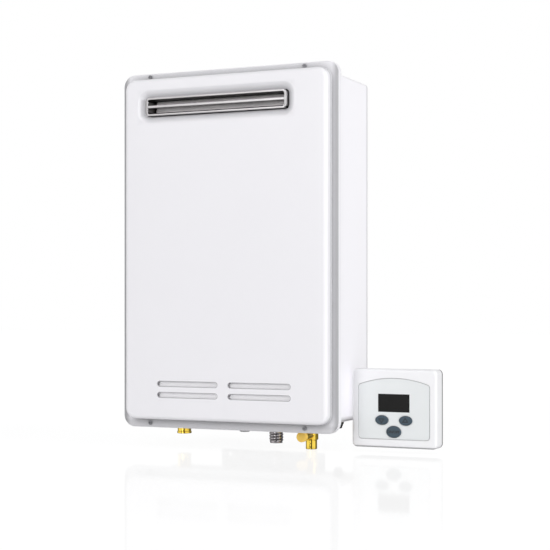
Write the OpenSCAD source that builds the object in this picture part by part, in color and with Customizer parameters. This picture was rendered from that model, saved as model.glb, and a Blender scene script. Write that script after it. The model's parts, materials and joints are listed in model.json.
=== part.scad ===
// Wall-hung tankless gas water heater for outdoor use, with its separate controller.
// Millimetres. A place is [x, distance off the wall, z]; the front looks along -Y.

/* [Case] */
// Width of the rear case
case_w = 328; // [320:1:420]
// Height of the rear case
case_h = 512; // [505:1:640]
// Depth of the rear case, from its back to its front flange
case_d = 152.8; // [150:0.1:200]
// Radius of the rear edges of the case
case_r = 16; // [8:1:20]
// Radius of the edges of the case that run from front to back
case_edge = 5; // [3:0.5:8]
// Thickness of the sheet steel
sheet = 1.2; // [0.8:0.1:1.5]
// Gap between the wall and the back of the case
stand_off = 8; // [6:0.5:14]

/* [Front cover] */
// How far the rim stands past the case on every side
rim_over = 14; // [13:0.5:18]
// Flat rim at the sides of the raised face
rim_side = 11.5; // [9:0.5:13]
// Flat rim above the raised face
rim_top = 10.3; // [9:0.1:13]
// Flat rim below the raised face
rim_bottom = 13.3; // [9:0.1:14]
// Corner radius of the rim
rim_r = 18; // [8:1:30]
// Depth of the lip folded back round the rim
lip_d = 10; // [5:0.5:14]
// How far the raised face stands in front of the rim
face_rise = 18; // [14:0.5:24]
// Corner radius of the raised face
face_r = 16; // [8:1:30]
// Radius of the raised face's front edge
face_edge = 6; // [2:0.5:7]
// Thickness of the foam gasket
gasket_t = 2; // [1:0.5:4]
// Cover screws left and right of the middle
cover_screw_x = 128; // [100:1:140]
// Shift of all cover screws to the right
cover_screw_shift = -3.5; // [-6:0.5:6]
// Radius of a cover screw's shank
cover_screw_r = 1.75; // [1.5:0.05:2]
// Radius of a cover screw's head
cover_head_r = 2.8; // [2.8:0.1:3.6]
// Height of a cover screw's head
cover_head_t = 2; // [1.5:0.1:3]
// Length of a cover screw's shank
cover_screw_l = 12; // [8:1:20]

/* [Flue outlet] */
// Middle of the outlet, left or right of the case's middle
flue_x = -14; // [-16:0.5:0]
// Middle of the outlet below the top of the case
flue_drop = 39; // [37:0.5:44]
// Width of the outlet frame
flue_w = 235; // [215:1:236]
// Height of the outlet frame
flue_h = 27.5; // [26:0.5:34]
// Corner radius of the outlet frame
flue_r = 6; // [4:0.5:8]
// Wall of the outlet frame above and below
flue_wall = 3; // [2:0.5:4]
// Width of the outlet frame's end posts
flue_post = 4.5; // [3:0.5:6]
// Thickness of the bar across the outlet
flue_bar_t = 4; // [2:0.5:4]
// Depth of the bar across the outlet
flue_bar_d = 10; // [6:1:16]
// How far the frame sits behind the raised face
flue_recess = 1; // [0:0.5:4]
// Slope of the dish round the outlet
dish_margin = 12; // [8:0.5:16]
// Flat floor of the dish beside the frame
dish_floor = 3; // [2:0.5:5]
// Depth of the dish
dish_d = 9; // [5:0.5:12]
// Gap between the frame and the cover
flue_clear = 1.5; // [1:0.1:2]
// Radius of a deflector vane in the outlet
vane_r = 5.5; // [5:0.5:8]
// Thickness of a deflector vane
vane_t = 1; // [0.8:0.1:1.5]

/* [Intake slots] */
// Length of an intake slot
slot_l = 100; // [60:1:120]
// Height of an intake slot
slot_h = 7.2; // [6:0.1:12]
// Bridge between the left and right slots
slot_bridge = 18.5; // [10:0.5:40]
// Pitch of the two rows of slots
slot_pitch = 16.8; // [14:0.1:24]
// Middle of the lower row above the bottom of the case
slot_up = 37; // [25:0.5:60]
// Gap between the cover and the baffle behind the slots
baffle_gap = 4; // [3:0.5:8]
// Baffle past the slots on every side
baffle_over = 8; // [5:0.5:12]

/* [Wall brackets] */
// Distance between the wall screws across
wall_hole_x = 150; // [100:1:160]
// Wall screws past the top and the bottom of the case
wall_hole_past = 20; // [18:0.5:30]
// Radius of a wall screw's hole
wall_hole_r = 3.25; // [2.5:0.05:4]
// Edge of a bracket past its holes
bracket_edge = 7.5; // [6:0.5:15]
// Thickness of a bracket
bracket_t = 2; // [1.5:0.1:3]
// Length of a bracket on the back of the case
bracket_leg = 36; // [24:1:60]
// Distance between the rivets of a bracket
rivet_x = 110; // [80:1:140]
// Radius of a rivet's shank
rivet_r = 2; // [1.5:0.1:2.5]
// Radius of a rivet's head
rivet_head_r = 4; // [3:0.1:5]
// Height of a rivet's head
rivet_head_t = 1.5; // [1:0.1:2]

/* [Heat exchanger] */
// Middle of the exchanger, chamber and burner, left or right of the case's middle
core_x = -16.5; // [-18:0.5:-14]
// Width of the exchanger, chamber and burner
core_w = 201; // [180:1:204]
// Depth of the exchanger, chamber and burner
core_d = 110; // [105:1:114]
// Gap between the case's back and the exchanger
core_gap = 15.8; // [14:0.1:18]
// Height of the exchanger
exchanger_h = 90; // [80:1:95]
// Height of the flue collector
collector_h = 58; // [56:1:60]
// Gap between the flue collector and the case's top
collector_gap = 6; // [4:0.5:7]
// Collector past the outlet frame at each side
collector_over = 4; // [2:0.5:6]
// Front of the collector past the front of the exchanger
collector_past = 15; // [12:0.5:18]
// Radius of the water tubes and pipes
pipe_r = 7; // [5:0.1:8.4]
// Wall of the water tubes and pipes
pipe_wall = 1; // [0.6:0.1:1.5]
// Bend radius of the water tubes and pipes
pipe_bend = 11; // [10:0.5:12]
// Water tubes through the fins
tube_count = 4; // [2:2:4]
// Middle of the tubes above the bottom of the exchanger
tube_up = 54; // [40:1:60]
// Straight tube outside the exchanger before a bend
tube_over = 6; // [3:0.5:7]
// Height of a fin
fin_h = 52; // [30:1:56]
// Thickness of a fin
fin_t = 0.8; // [0.5:0.1:1]
// Pitch of the fins
fin_pitch = 7; // [5:0.5:10]

/* [Burner] */
// Height of the combustion chamber
chamber_h = 110; // [100:1:115]
// Height of the burner tray
tray_h = 85; // [75:1:88]
// Number of burner bars
bar_count = 10; // [6:1:12]
// Thickness of a burner bar
bar_t = 11; // [8:0.5:13]
// Height of a burner bar
bar_h = 52; // [40:1:60]
// Top of the burner bars below the rim of the tray
bar_drop = 12; // [8:1:14]
// Width of the flame slot along a burner bar
flame_slot_w = 3; // [1:0.5:4]
// Height of the gas manifold
manifold_h = 20; // [16:1:24]
// Depth of the gas manifold
manifold_d = 14; // [12:1:18]
// Middle of the gas manifold above the bottom of the tray
manifold_up = 34; // [30:1:40]
// Radius of a gas jet
jet_r = 3; // [2:0.1:3.5]
// Bore radius of a gas jet
jet_bore = 0.75; // [0.5:0.05:1]
// Length of a gas jet past the manifold
jet_l = 5; // [3:0.5:8]

/* [Gas line] */
// Fittings under the case, off the wall
fit_out = 94; // [90:1:98]
// Gas fitting left or right of the middle
gas_x = 48; // [46:1:50]
// Gas fitting's end below the case
gas_drop = 37; // [30:1:45]
// Outer radius of the gas thread
gas_r = 10.65; // [8:0.05:10.8]
// Length of the gas thread
gas_thread = 31; // [20:1:32]
// How far the gas fitting is turned down above its thread
gas_relief = 0.4; // [0.2:0.1:0.8]
// Bore radius of the gas fitting
gas_bore = 8; // [5:0.1:8.4]
// Width of the gas valve
valve_w = 44; // [40:1:48]
// Height of the gas valve
valve_h = 95; // [90:1:105]
// Bottom of the gas valve above the floor of the case
valve_up = 20; // [16:1:24]
// Back of the gas valve behind the fittings
valve_behind = 22; // [16:1:30]
// Front of the gas valve ahead of the fittings
valve_ahead = 56; // [54:1:58]
// Radius of the pipe from valve to manifold
feed_r = 5.1; // [4.5:0.1:5.6]
// Bore radius of the pipe from valve to manifold
feed_bore = 3.4; // [2:0.1:3.6]
// Radius of the flanges of the pipe from valve to manifold
feed_flange_r = 6.8; // [6:0.1:6.8]
// Thickness of the flanges of the pipe from valve to manifold
feed_flange_t = 6; // [4:0.5:8]
// Radius of a solenoid coil
coil_r = 14; // [10:0.5:16]
// Length of a solenoid coil
coil_l = 18; // [14:1:20]
// Thickness of a solenoid coil's closed end
coil_cap = 2; // [1:0.5:3]
// Distance between the two solenoid coils
coil_pitch = 40; // [34:1:46]
// Radius of a solenoid plunger
plunger_r = 5; // [3:0.1:6]
// Length of a solenoid plunger
plunger_l = 30; // [24:1:34]
// How far a solenoid plunger lifts
plunger_lift = 3; // [2:0.5:4]

/* [Fan] */
// Fan axis left or right of the middle
fan_x = -37; // [-38:1:-36]
// Radius of the fan housing
fan_r = 52; // [44:0.5:54]
// Fan axis below the burner tray
fan_drop = 66; // [60:1:70]
// Depth of the fan housing
fan_d = 52; // [46:1:56]
// Wall of the fan housing
fan_wall = 2; // [1.5:0.5:3]
// Radius of the fan housing's inlet
eye_r = 30; // [24:1:32]
// Gap between the fan wheel and its housing
fan_gap = 6; // [4:0.5:8]
// Radial depth of the fan blades
blade_d = 9; // [6:0.5:10]
// Thickness of a fan blade
blade_t = 1.2; // [1:0.1:2]
// Number of fan blades
blade_count = 26; // [16:1:32]
// Lean of the fan blades in degrees
blade_lean = 28; // [0:1:40]
// Thickness of the fan wheel's disc and ring
wheel_t = 2; // [1.5:0.5:3]
// Radius of the fan hub
hub_r = 9; // [7:0.5:12]
// Radius of the fan shaft
shaft_r = 4; // [3:0.1:5]
// Radius of the fan motor
motor_r = 30; // [24:0.5:34]
// Gap between the case's back and the fan motor
motor_gap = 3; // [2:0.5:6]
// Depth of the fan motor
motor_d = 27.8; // [22:0.1:32]

/* [Water line] */
// Cold inlet left or right of the middle
cold_x = 106; // [104:1:110]
// Cold inlet's end below the case
cold_drop = 44; // [40:1:50]
// Outer radius of the cold inlet's end
cold_r = 8.5; // [7:0.1:9.5]
// Bore radius of the cold inlet
cold_bore = 6.5; // [4:0.1:7]
// Radius of the cold inlet's collar
collar_r = 10.4; // [9.8:0.1:11]
// Height of the cold inlet's collar
collar_h = 14; // [14:0.5:16]
// Hot outlet left or right of the middle
hot_x = -110; // [-112:1:-108]
// Hot outlet's end below the case
hot_drop = 28; // [22:1:40]
// Outer radius of the hot outlet
hot_r = 10.5; // [9:0.1:11]
// Bore radius of the hot outlet
hot_bore = 7.5; // [5:0.1:8]
// Radius of the rim at the hot outlet's end
hot_rim_r = 11.3; // [11:0.1:13]
// Height of the rim at the hot outlet's end
hot_rim_h = 3; // [2:0.5:6]
// Radius of the shoulder that seats a fitting
shoulder_r = 13; // [12:0.5:15]
// Height of a water fitting inside the case
shoulder_h = 48; // [40:1:52]
// Drain plug's axis below the case
plug_down = 23; // [18:0.5:26]
// Radius of the drain branch
branch_r = 6.8; // [6:0.1:7.5]
// Length of the drain branch from the inlet's axis
branch_l = 30; // [24:1:34]
// Radius of the drain plug's neck
neck_r = 4.6; // [4:0.1:5]
// Length of the drain plug's neck
neck_l = 15; // [12:0.5:18]
// Radius of the drain plug's head
plug_r = 7.7; // [7:0.1:9]
// Thickness of the drain plug's head
plug_t = 8; // [5:0.5:12]
// Thickness of the drain plug's seal
seal_t = 2; // [1:0.5:3]
// Height of the flow sensor
sensor_h = 40; // [36:1:44]
// Outer radius of the flow sensor
sensor_r = 13; // [12.5:0.1:15]
// Bore radius of the flow sensor
sensor_bore = 9.5; // [7:0.1:10]
// Thickness of the bars that carry the turbine
spider_t = 3; // [2:0.5:4]
// Radius of the turbine's vanes
turbine_r = 8.8; // [6:0.1:8.8]
// Radius of the turbine's hub
turbine_hub_r = 3.5; // [2.5:0.1:4]
// Radius of the turbine's pin
pin_r = 1.5; // [1:0.1:2]
// Wrap pipe above the bottom of the combustion chamber
wrap_up = 70; // [40:1:80]
// Gap between the wrap pipe and the chamber
wrap_gap = 4; // [2:0.5:6]
// Level of the hot pipe's cross run above the case's floor
hot_cross_up = 105; // [95:1:110]
// Width and depth of a fitting plate
plate_w = 44; // [42:1:48]
// Thickness of a fitting plate
plate_t = 2; // [1:0.5:3]
// Radius of a fitting screw
fitting_screw_r = 1.6; // [1.2:0.1:2]

/* [Electrics] */
// Width of the control box off the side of the case
box_w = 40; // [34:1:41]
// Height of the control box
box_h = 180; // [140:1:200]
// Depth of the control box
box_d = 90; // [70:1:96]
// Back of the control box off the wall
box_back = 45; // [30:1:50]
// Middle of the control box above the middle of the case
box_z = 30; // [20:1:40]
// Wall of the control box
box_wall = 2; // [1.5:0.5:3]
// Thickness of the circuit boards
board_t = 1.6; // [1:0.2:2]
// Space between the control box's side and its board
board_gap = 6; // [4:0.5:8]
// Thickness of the ignition unit
igniter_t = 15; // [10:1:16]
// Radius of an electrode's ceramic
ceramic_r = 4; // [3:0.5:5]
// Radius of an electrode's rod
rod_r = 1.6; // [1:0.1:2]
// Pitch of the electrodes
electrode_pitch = 20; // [14:1:24]
// Power gland left or right of the middle
power_x = 138; // [136:1:138]
// Power gland off the wall
power_out = 65; // [50:1:68]
// Radius of the power gland's flange
power_r = 10.6; // [7:0.1:11]
// Radius of the power gland's tip
power_tip_r = 5; // [4:0.5:6]
// Length of the power gland below the case
power_l = 14; // [10:1:20]
// Controller cable's gland left or right of the middle
cable_x = -5; // [-20:1:10]
// Radius of the controller cable's gland
cable_r = 8.4; // [6:0.1:10]
// Length of the controller cable's gland below the case
cable_l = 22; // [14:1:24]
// Bore radius of the two glands
gland_bore = 3; // [2:0.5:3.5]

/* [Controller] */
// Gap between the side of the case and the controller
ctl_gap = 11; // [10:0.5:80]
// Width of the controller
ctl_w = 131; // [128:1:150]
// Height of the controller
ctl_h = 115; // [113:1:130]
// Depth of the controller
ctl_d = 29; // [23:0.5:30]
// Back of the controller off the wall
ctl_back = 75; // [60:1:100]
// Bottom of the controller above the end of the cold fitting
ctl_up = 7.5; // [0:0.5:40]
// Corner radius of the controller
ctl_r = 7; // [4:0.5:10]
// Wall of the controller's housing
ctl_wall = 2; // [1.5:0.5:2.5]
// Width of the fascia
fascia_w = 109; // [104:1:116]
// Height of the fascia to the top of its arch
fascia_h = 88.6; // [86:0.1:96]
// Rise of the fascia's arch
fascia_arch = 9.7; // [4:0.1:14]
// Bottom of the fascia above the bottom of the controller
fascia_up = 13; // [10:0.5:15]
// Thickness of the fascia
fascia_t = 1.8; // [1.2:0.1:2.4]
// How far the fascia stands in front of the housing
fascia_proud = 0.3; // [0:0.1:0.6]
// Ledge that carries the fascia
fascia_ledge = 1.5; // [1:0.1:1.6]
// Width of the display
display_w = 48.3; // [40:0.1:56]
// Height of the display
display_h = 26.3; // [20:0.1:28]
// Middle of the display above the bottom of the controller
display_up = 65.8; // [64:0.1:68]
// Arrow buttons left and right of the controller's middle
arrow_x = 18.3; // [16:0.1:22]
// Arrow buttons above the bottom of the controller
arrow_up = 40.5; // [39:0.5:42]
// Width of an arrow button
arrow_w = 20; // [14:0.5:21]
// Height of an arrow button
arrow_h = 13.7; // [9:0.1:14]
// Power button above the bottom of the controller
power_up = 23.7; // [23:0.1:25]
// Width of the power button
power_w = 22.6; // [16:0.1:24]
// Height of the power button
power_h = 17; // [12:0.1:17]
// How far a button stands in front of the fascia
button_proud = 1.8; // [1.4:0.1:3]
// How far a button is pressed
button_travel = 1.2; // [0.6:0.1:1.2]
// Distance between the controller's wall screws
ctl_hole_x = 83.5; // [60:0.5:90]
// Radius of a controller wall screw's hole
ctl_hole_r = 2.2; // [1.5:0.1:2.5]

/* [Fits] */
// Radial clearance of shafts, pins and plungers
slip = 0.05; // [0.02:0.01:0.1]
// Clearance of fixed pieces in their holes
ease = 0.1; // [0.05:0.01:0.2]
// Clearance round a button
button_gap = 0.35; // [0.3:0.05:0.5]
// Clearance between neighbouring pieces that move
apart = 0.5; // [0.3:0.1:1]

/* [Hidden] */
$fn = 64;
cut = 1;
skin = 0.01;
edge_steps = 6;

// Case and cover, as distances off the wall and heights
back_in = stand_off + sheet;
case_front = stand_off + case_d;
rim_back = case_front + gasket_t;
rim_front = rim_back + sheet;
face_out = rim_front + face_rise;
face_in = face_out - sheet;
case_top = case_h / 2;
case_bottom = -case_top;
roof_in = case_top - sheet;
floor_in = case_bottom + sheet;
side_in = case_w / 2 - sheet;
panel_x = case_w / 2 - case_edge;
rim_w = case_w + 2 * rim_over;
rim_h = case_h + 2 * rim_over;
flange_over = rim_over - sheet - apart;
face_w = rim_w - 2 * rim_side;
face_h = rim_h - rim_top - rim_bottom;
face_z = (rim_bottom - rim_top) / 2;
cover_screws_z = [rim_h / 2 - rim_top / 2, -rim_h / 2 + rim_bottom / 2];

// Flue outlet
flue_z = case_top - flue_drop;
flue_front = face_out - flue_recess;
flue_in_w = flue_w - 2 * flue_post;
flue_in_h = flue_h - 2 * flue_wall;
dish_back = face_out - dish_d;

// Intake
slot_x = (slot_l + slot_bridge) / 2;
slot_low = case_bottom + slot_up;
slot_high = slot_low + slot_pitch;
baffle_front = face_in - baffle_gap;
baffle_back = baffle_front - sheet;
baffle_x = slot_x + slot_l / 2 + baffle_over;
baffle_z = [slot_low - slot_h / 2 - baffle_over, slot_high + slot_h / 2 + baffle_over];

// Brackets
wall_hole_z = case_top + wall_hole_past;
bracket_w = wall_hole_x + 4 * bracket_edge;
bracket_step = case_top - case_r;
rivet_z = bracket_step - bracket_leg / 2;

// Stack of collector, exchanger, chamber and burner
core_back = back_in + core_gap;
core_front = core_back + core_d;
core_left = core_x - core_w / 2;
core_right = core_x + core_w / 2;
collector_top = roof_in - collector_gap;
exchanger_top = collector_top - collector_h;
chamber_top = exchanger_top - exchanger_h;
tray_top = chamber_top - chamber_h;
tray_bottom = tray_top - tray_h;
collector_front = core_front + collector_past;
collector_half = flue_w / 2 + collector_over;
tube_z = chamber_top + tube_up;
tube_first = (core_back + core_front) / 2 + pipe_bend * (tube_count - 1);
tube_last = tube_first - 2 * pipe_bend * (tube_count - 1);
tube_end = core_left - tube_over;
bend_left = tube_end - pipe_bend;
bend_right = core_right + tube_over + pipe_bend;
fin_room = core_w - 2 * sheet - 2 * fin_pitch;
fin_count = floor(fin_room / fin_pitch);

// Burner
bar_room = core_w - 2 * sheet;
bar_pitch = bar_room / bar_count;
bar_top = tray_top - bar_drop;
manifold_z = tray_bottom + manifold_up;
manifold_front = core_front + manifold_d;

// Gas valve
valve_back = fit_out - valve_behind;
valve_front = fit_out + valve_ahead;
valve_bottom = floor_in + valve_up;
valve_top = valve_bottom + valve_h;
coil_front = valve_front + coil_l;
coil_mid = (valve_bottom + valve_top) / 2;
plunger_front = coil_front - coil_cap - plunger_lift - apart;
feed_out = (core_front + manifold_front) / 2;

// Fan
fan_z = tray_bottom - fan_drop;
fan_back = back_in + motor_gap + motor_d;
fan_front = fan_back + fan_d;
fan_in = fan_r - fan_wall;
wheel_r = fan_in - fan_gap;
wheel_back = fan_back + fan_wall + wheel_t;
wheel_front = fan_front - fan_wall - wheel_t;
wheel_mid = (wheel_back + wheel_front) / 2;
shaft_back = fan_back - motor_d / 2;

// Water line
plate_top = floor_in + plate_t;
fitting_top = plate_top + shoulder_h;
sensor_top = fitting_top + sensor_h;
plug_z = case_bottom - plug_down;
branch_end = fit_out + branch_l;
plug_back = branch_end + seal_t;
neck_end = plug_back - neck_l;
wrap_z = tray_top + wrap_up;
wrap_out = core_front + wrap_gap + pipe_r;
hot_cross = floor_in + hot_cross_up;
turbine_low = fitting_top + 2 * spider_t;
turbine_high = sensor_top - 2 * spider_t;
fitting_x = [hot_x, gas_x, cold_x];
fitting_hole_r = [hot_r, gas_r, cold_r];
fitting_screw_x = plate_w / 2 - 3 * fitting_screw_r;

// Electrics
box_left = side_in - box_w;
box_front = box_back + box_d;
box_low = box_z - box_h / 2;
box_high = box_z + box_h / 2;
board_x = side_in - box_wall - board_gap;
electrode_up = 16;
electrode_z = tray_top + electrode_up;
gland_nut_t = 6;

// Controller
ctl_x = case_w / 2 + ctl_gap + ctl_w / 2;
ctl_bottom = case_bottom - cold_drop + ctl_up;
ctl_front = ctl_back + ctl_d;
ctl_mid = ctl_bottom + ctl_h / 2;
fascia_front = ctl_front + fascia_proud;
fascia_back = fascia_front - fascia_t;
fascia_r = 5;
ledge_t = 1;
ctl_skin = fascia_back - ledge_t;
fascia_z = ctl_bottom + fascia_up + fascia_h / 2;
arch_r = (pow(fascia_w / 2, 2) + pow(fascia_arch, 2)) / (2 * fascia_arch);
display_z = ctl_bottom + display_up;
arrow_z = ctl_bottom + arrow_up;
power_z = ctl_bottom + power_up;
base_t = 2.5;
ctl_board_front = ctl_back + ctl_d / 2;
ctl_board_back = ctl_board_front - board_t;
switch_w = 6;
switch_h = 3.5;
switch_key = 0.9;
switch_gap = 0.1;
switch_top = ctl_board_front + switch_h + switch_key;
wing_t = 2;
button_front = fascia_front + button_proud;
button_wing_front = fascia_back - button_gap;
button_wing_back = button_wing_front - wing_t;
button_stem_end = switch_top + button_travel + switch_gap;

// Shared shapes

// A point turned from [x, distance off the wall, z] into the model's axes
function place(p) = [p[0], -p[1], p[2]];

// Points along an arc
function arc(c, r, a0, a1, n) =
    [for (i = [0:n]) let (a = a0 + (a1 - a0) * i / n) c + r * [cos(a), sin(a)]];

// Points round an ellipse
function oval(w, h, n = 48) =
    [for (i = [0:n - 1]) let (a = 360 * i / n) [w / 2 * cos(a), h / 2 * sin(a)]];

// A front view extruded between two distances off the wall
module layer(from, to) {
    translate([0, -from, 0])
        rotate([90, 0, 0])
            linear_extrude(to - from)
                children();
}

// A block between two places
module block(a, b) {
    translate([a[0], -b[1], a[2]])
        cube([b[0] - a[0], b[1] - a[1], b[2] - a[2]]);
}

// An upright round bar
module post(x, out, low, high, r) {
    translate([x, -out, low])
        cylinder(h = high - low, r = r);
}

// A round bar square to the wall
module stud(x, z, from, to, r) {
    translate([x, -from, z])
        rotate([90, 0, 0])
            cylinder(h = to - from, r = r);
}

// A round bar from side to side
module bar(out, z, left, right, r) {
    translate([left, -out, z])
        rotate([0, 90, 0])
            cylinder(h = right - left, r = r);
}

// A rectangle with round corners
module round_rect(w, h, r) {
    square([w - 2 * r, h], center = true);
    square([w, h - 2 * r], center = true);
    for (x = [-1, 1], y = [-1, 1])
        translate([x * (w / 2 - r), y * (h / 2 - r)])
            circle(r);
}

// A slot with round ends
module stadium(l, h) {
    square([l - h, h], center = true);
    for (x = [-1, 1])
        translate([x * (l - h) / 2, 0])
            circle(h / 2);
}

// A block with round corners and a rounded end
module pillow(w, h, d, r, edge) {
    hull()
        for (x = [-1, 1], y = [-1, 1])
            translate([x * (w / 2 - r), y * (h / 2 - r)])
                rotate_extrude($fn = 32)
                    polygon(concat([[0, 0], [r, 0]], arc([r - edge, d - edge], edge, 0, 90, edge_steps),
                        [[0, d]]));
}

// A rectangular funnel with round corners between two front views
module funnel(from, to, small, large) {
    hull() {
        layer(from, from + skin)
            round_rect(small[0], small[1], small[2], $fn = 32);
        layer(to - skin, to)
            round_rect(large[0], large[1], large[2], $fn = 32);
    }
}

// The cut face of a pipe
module ring(r) {
    difference() {
        circle(r);
        circle(r - pipe_wall);
    }
}

// A straight length of pipe along an axis
module pipe_run(a, b, r) {
    d = (b - a) / norm(b - a);
    u = [d[1], d[2], d[0]];
    v = cross(d, u);
    multmatrix([[u[0], v[0], d[0], a[0]], [u[1], v[1], d[1], a[1]], [u[2], v[2], d[2], a[2]]])
        linear_extrude(norm(b - a))
            ring(r);
}

// A quarter bend of pipe at a corner, coming in along a and leaving along b
module pipe_bend_at(p, a, b, r) {
    c = p + pipe_bend * (b - a);
    n = cross(-b, a);
    multmatrix([[-b[0], a[0], n[0], c[0]], [-b[1], a[1], n[1], c[1]], [-b[2], a[2], n[2], c[2]]])
        rotate_extrude(angle = 90)
            translate([pipe_bend, 0])
                ring(r);
}

// A pipe along places whose runs are square to each other
module pipe(places, r) {
    p = [for (q = places) place(q)];
    last = len(p) - 1;
    d = [for (i = [0:last - 1]) (p[i + 1] - p[i]) / norm(p[i + 1] - p[i])];
    for (i = [0:last - 1]) {
        a = p[i] + (i > 0 ? pipe_bend : 0) * d[i];
        b = p[i + 1] - (i < last - 1 ? pipe_bend : 0) * d[i];
        if ((b - a) * d[i] > 0.01)
            pipe_run(a, b, r);
    }
    for (i = [1:last - 1])
        pipe_bend_at(p[i], d[i - 1], d[i], r);
}

// An open rectangular duct of sheet between two heights
module duct(low, high) {
    difference() {
        block([core_left, core_back, low], [core_right, core_front, high]);
        block([core_left + sheet, core_back + sheet, low - cut],
            [core_right - sheet, core_front - sheet, high + cut]);
    }
}

// Case, cover and brackets

module cover_screw_places() {
    for (x = [-1, 1], z = cover_screws_z)
        translate([cover_screw_shift + x * cover_screw_x, 0, z])
            children();
}

// The case as a solid, taken in on every side: views from the front, the side and above, crossed
module tray(inset, front) {
    w = case_w - 2 * inset;
    h = case_h - 2 * inset;
    d = 2 * (case_d - inset);
    intersection() {
        layer(stand_off + inset, front)
            round_rect(w, h, case_edge - inset);
        translate([-w / 2, -case_front, 0])
            rotate([90, 0, 90])
                linear_extrude(w)
                    round_rect(d, h, case_r - inset);
        translate([0, -case_front, -h / 2])
            linear_extrude(h)
                round_rect(w, d, case_r - inset);
    }
}

module rear_case() {
    color("white")
        difference() {
            tray(0, case_front);
            tray(sheet, case_front + cut);
            block([-panel_x, stand_off + case_r, case_bottom - cut],
                [panel_x, case_front + cut, floor_in + cut]);
            for (x = [-1, 1], z = [-1, 1])
                stud(x * rivet_x / 2, z * rivet_z, 0, back_in + cut, rivet_r + ease);
        }
}

module case_floor() {
    color("white")
        difference() {
            block([-panel_x, stand_off + case_r, case_bottom], [panel_x, case_front, floor_in]);
            for (i = [0:2])
                post(fitting_x[i], fit_out, case_bottom - cut, floor_in + cut, fitting_hole_r[i] + apart);
            fitting_screw_places()
                post(0, fit_out, case_bottom - cut, floor_in + cut, fitting_screw_r + ease);
            post(power_x, power_out, case_bottom - cut, floor_in + cut, power_tip_r + ease);
            post(cable_x, fit_out, case_bottom - cut, floor_in + cut, power_tip_r + ease);
        }
}

module case_flange() {
    color("white")
        difference() {
            layer(case_front - sheet, case_front)
                difference() {
                    round_rect(case_w + 2 * flange_over, case_h + 2 * flange_over, rim_r - sheet);
                    round_rect(case_w, case_h, case_edge - ease);
                }
            cover_screw_places()
                stud(0, 0, case_front - 2 * sheet, case_front + cut, cover_screw_r + 2 * ease);
        }
}

module front_cover() {
    dish_small = [flue_w + 2 * dish_floor, flue_h + 2 * dish_floor, flue_r + dish_floor];
    dish_large = [flue_w + 2 * dish_margin, flue_h + 2 * dish_margin, flue_r + dish_margin];
    wall = [2 * sheet, 2 * sheet, sheet];
    color("white")
        difference() {
            union() {
                difference() {
                    union() {
                        layer(rim_back, rim_front)
                            round_rect(rim_w, rim_h, rim_r);
                        layer(rim_front - lip_d, rim_front)
                            difference() {
                                round_rect(rim_w, rim_h, rim_r);
                                round_rect(rim_w - 2 * sheet, rim_h - 2 * sheet, rim_r - sheet);
                            }
                        translate([0, -rim_back, face_z])
                            rotate([90, 0, 0])
                                pillow(face_w, face_h, face_rise + sheet, face_r, face_edge);
                    }
                    translate([0, -rim_back + cut, face_z])
                        rotate([90, 0, 0])
                            pillow(face_w - 2 * sheet, face_h - 2 * sheet, face_rise + cut,
                                face_r - sheet, face_edge - sheet);
                }
                translate([flue_x, 0, flue_z])
                    funnel(dish_back - sheet, face_out, dish_small + wall, dish_large + wall);
            }
            translate([flue_x, 0, flue_z]) {
                funnel(dish_back, face_out + skin, dish_small, dish_large);
                layer(dish_back - sheet - cut, face_out)
                    round_rect(flue_w + 2 * flue_clear, flue_h + 2 * flue_clear, flue_r + flue_clear);
            }
            for (x = [-1, 1], z = [slot_low, slot_high])
                translate([x * slot_x, 0, z])
                    layer(face_in - cut, face_out + cut)
                        stadium(slot_l, slot_h);
            cover_screw_places()
                stud(0, 0, rim_back - cut, rim_front + cut, cover_screw_r + ease);
        }
}

module cover_gasket() {
    gasket_w = case_w + 2 * flange_over - apart;
    gasket_h = case_h + 2 * flange_over - apart;
    color("dimgray")
        difference() {
            layer(case_front, rim_back)
                difference() {
                    round_rect(gasket_w, gasket_h, rim_r - 2 * sheet);
                    round_rect(case_w, case_h, case_edge);
                }
            cover_screw_places()
                stud(0, 0, case_front - cut, rim_back + cut, cover_screw_r + 3 * ease);
        }
}

module cover_screws() {
    recess_l = 3.8;
    recess_w = 0.8;
    color("slategray")
        cover_screw_places() {
            stud(0, 0, rim_front - cover_screw_l, rim_front, cover_screw_r);
            difference() {
                stud(0, 0, rim_front, rim_front + cover_head_t, cover_head_r);
                for (turn = [0, 90])
                    translate([0, -rim_front - cover_head_t, 0])
                        rotate([0, turn, 0])
                            cube([recess_l, cover_head_t, recess_w], center = true);
            }
        }
}

module intake_baffle() {
    color("lightgray") {
        block([-baffle_x, baffle_back, baffle_z[0]], [baffle_x, baffle_front, baffle_z[1]]);
        block([-baffle_x, baffle_back, baffle_z[0]], [baffle_x, face_in, baffle_z[0] + sheet]);
        for (x = [-baffle_x, baffle_x - sheet])
            block([x, baffle_back, baffle_z[0]], [x + sheet, face_in, baffle_z[1]]);
    }
}

// A bracket, drawn for the top of the case
module bracket() {
    half = bracket_w / 2;
    color("gainsboro")
        difference() {
            union() {
                block([-half, 0, bracket_step], [half, bracket_t, wall_hole_z + bracket_edge]);
                block([-half, 0, bracket_step], [half, stand_off, bracket_step + bracket_t]);
                block([-half, stand_off - bracket_t, bracket_step - bracket_leg],
                    [half, stand_off, bracket_step + bracket_t]);
            }
            for (x = [-1, 1]) {
                stud(x * wall_hole_x / 2, wall_hole_z, -cut, bracket_t + cut, wall_hole_r);
                stud(x * rivet_x / 2, rivet_z, 0, stand_off + cut, rivet_r + ease);
            }
        }
}

module wall_brackets() {
    bracket();
    mirror([0, 0, 1])
        bracket();
}

module bracket_rivets() {
    color("silver")
        for (x = [-1, 1], z = [-1, 1])
            translate([x * rivet_x / 2, 0, z * rivet_z]) {
                stud(0, 0, stand_off - bracket_t, back_in, rivet_r);
                stud(0, 0, stand_off - bracket_t - rivet_head_t, stand_off - bracket_t, rivet_head_r);
                stud(0, 0, back_in, back_in + rivet_head_t, rivet_head_r);
            }
}

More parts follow.
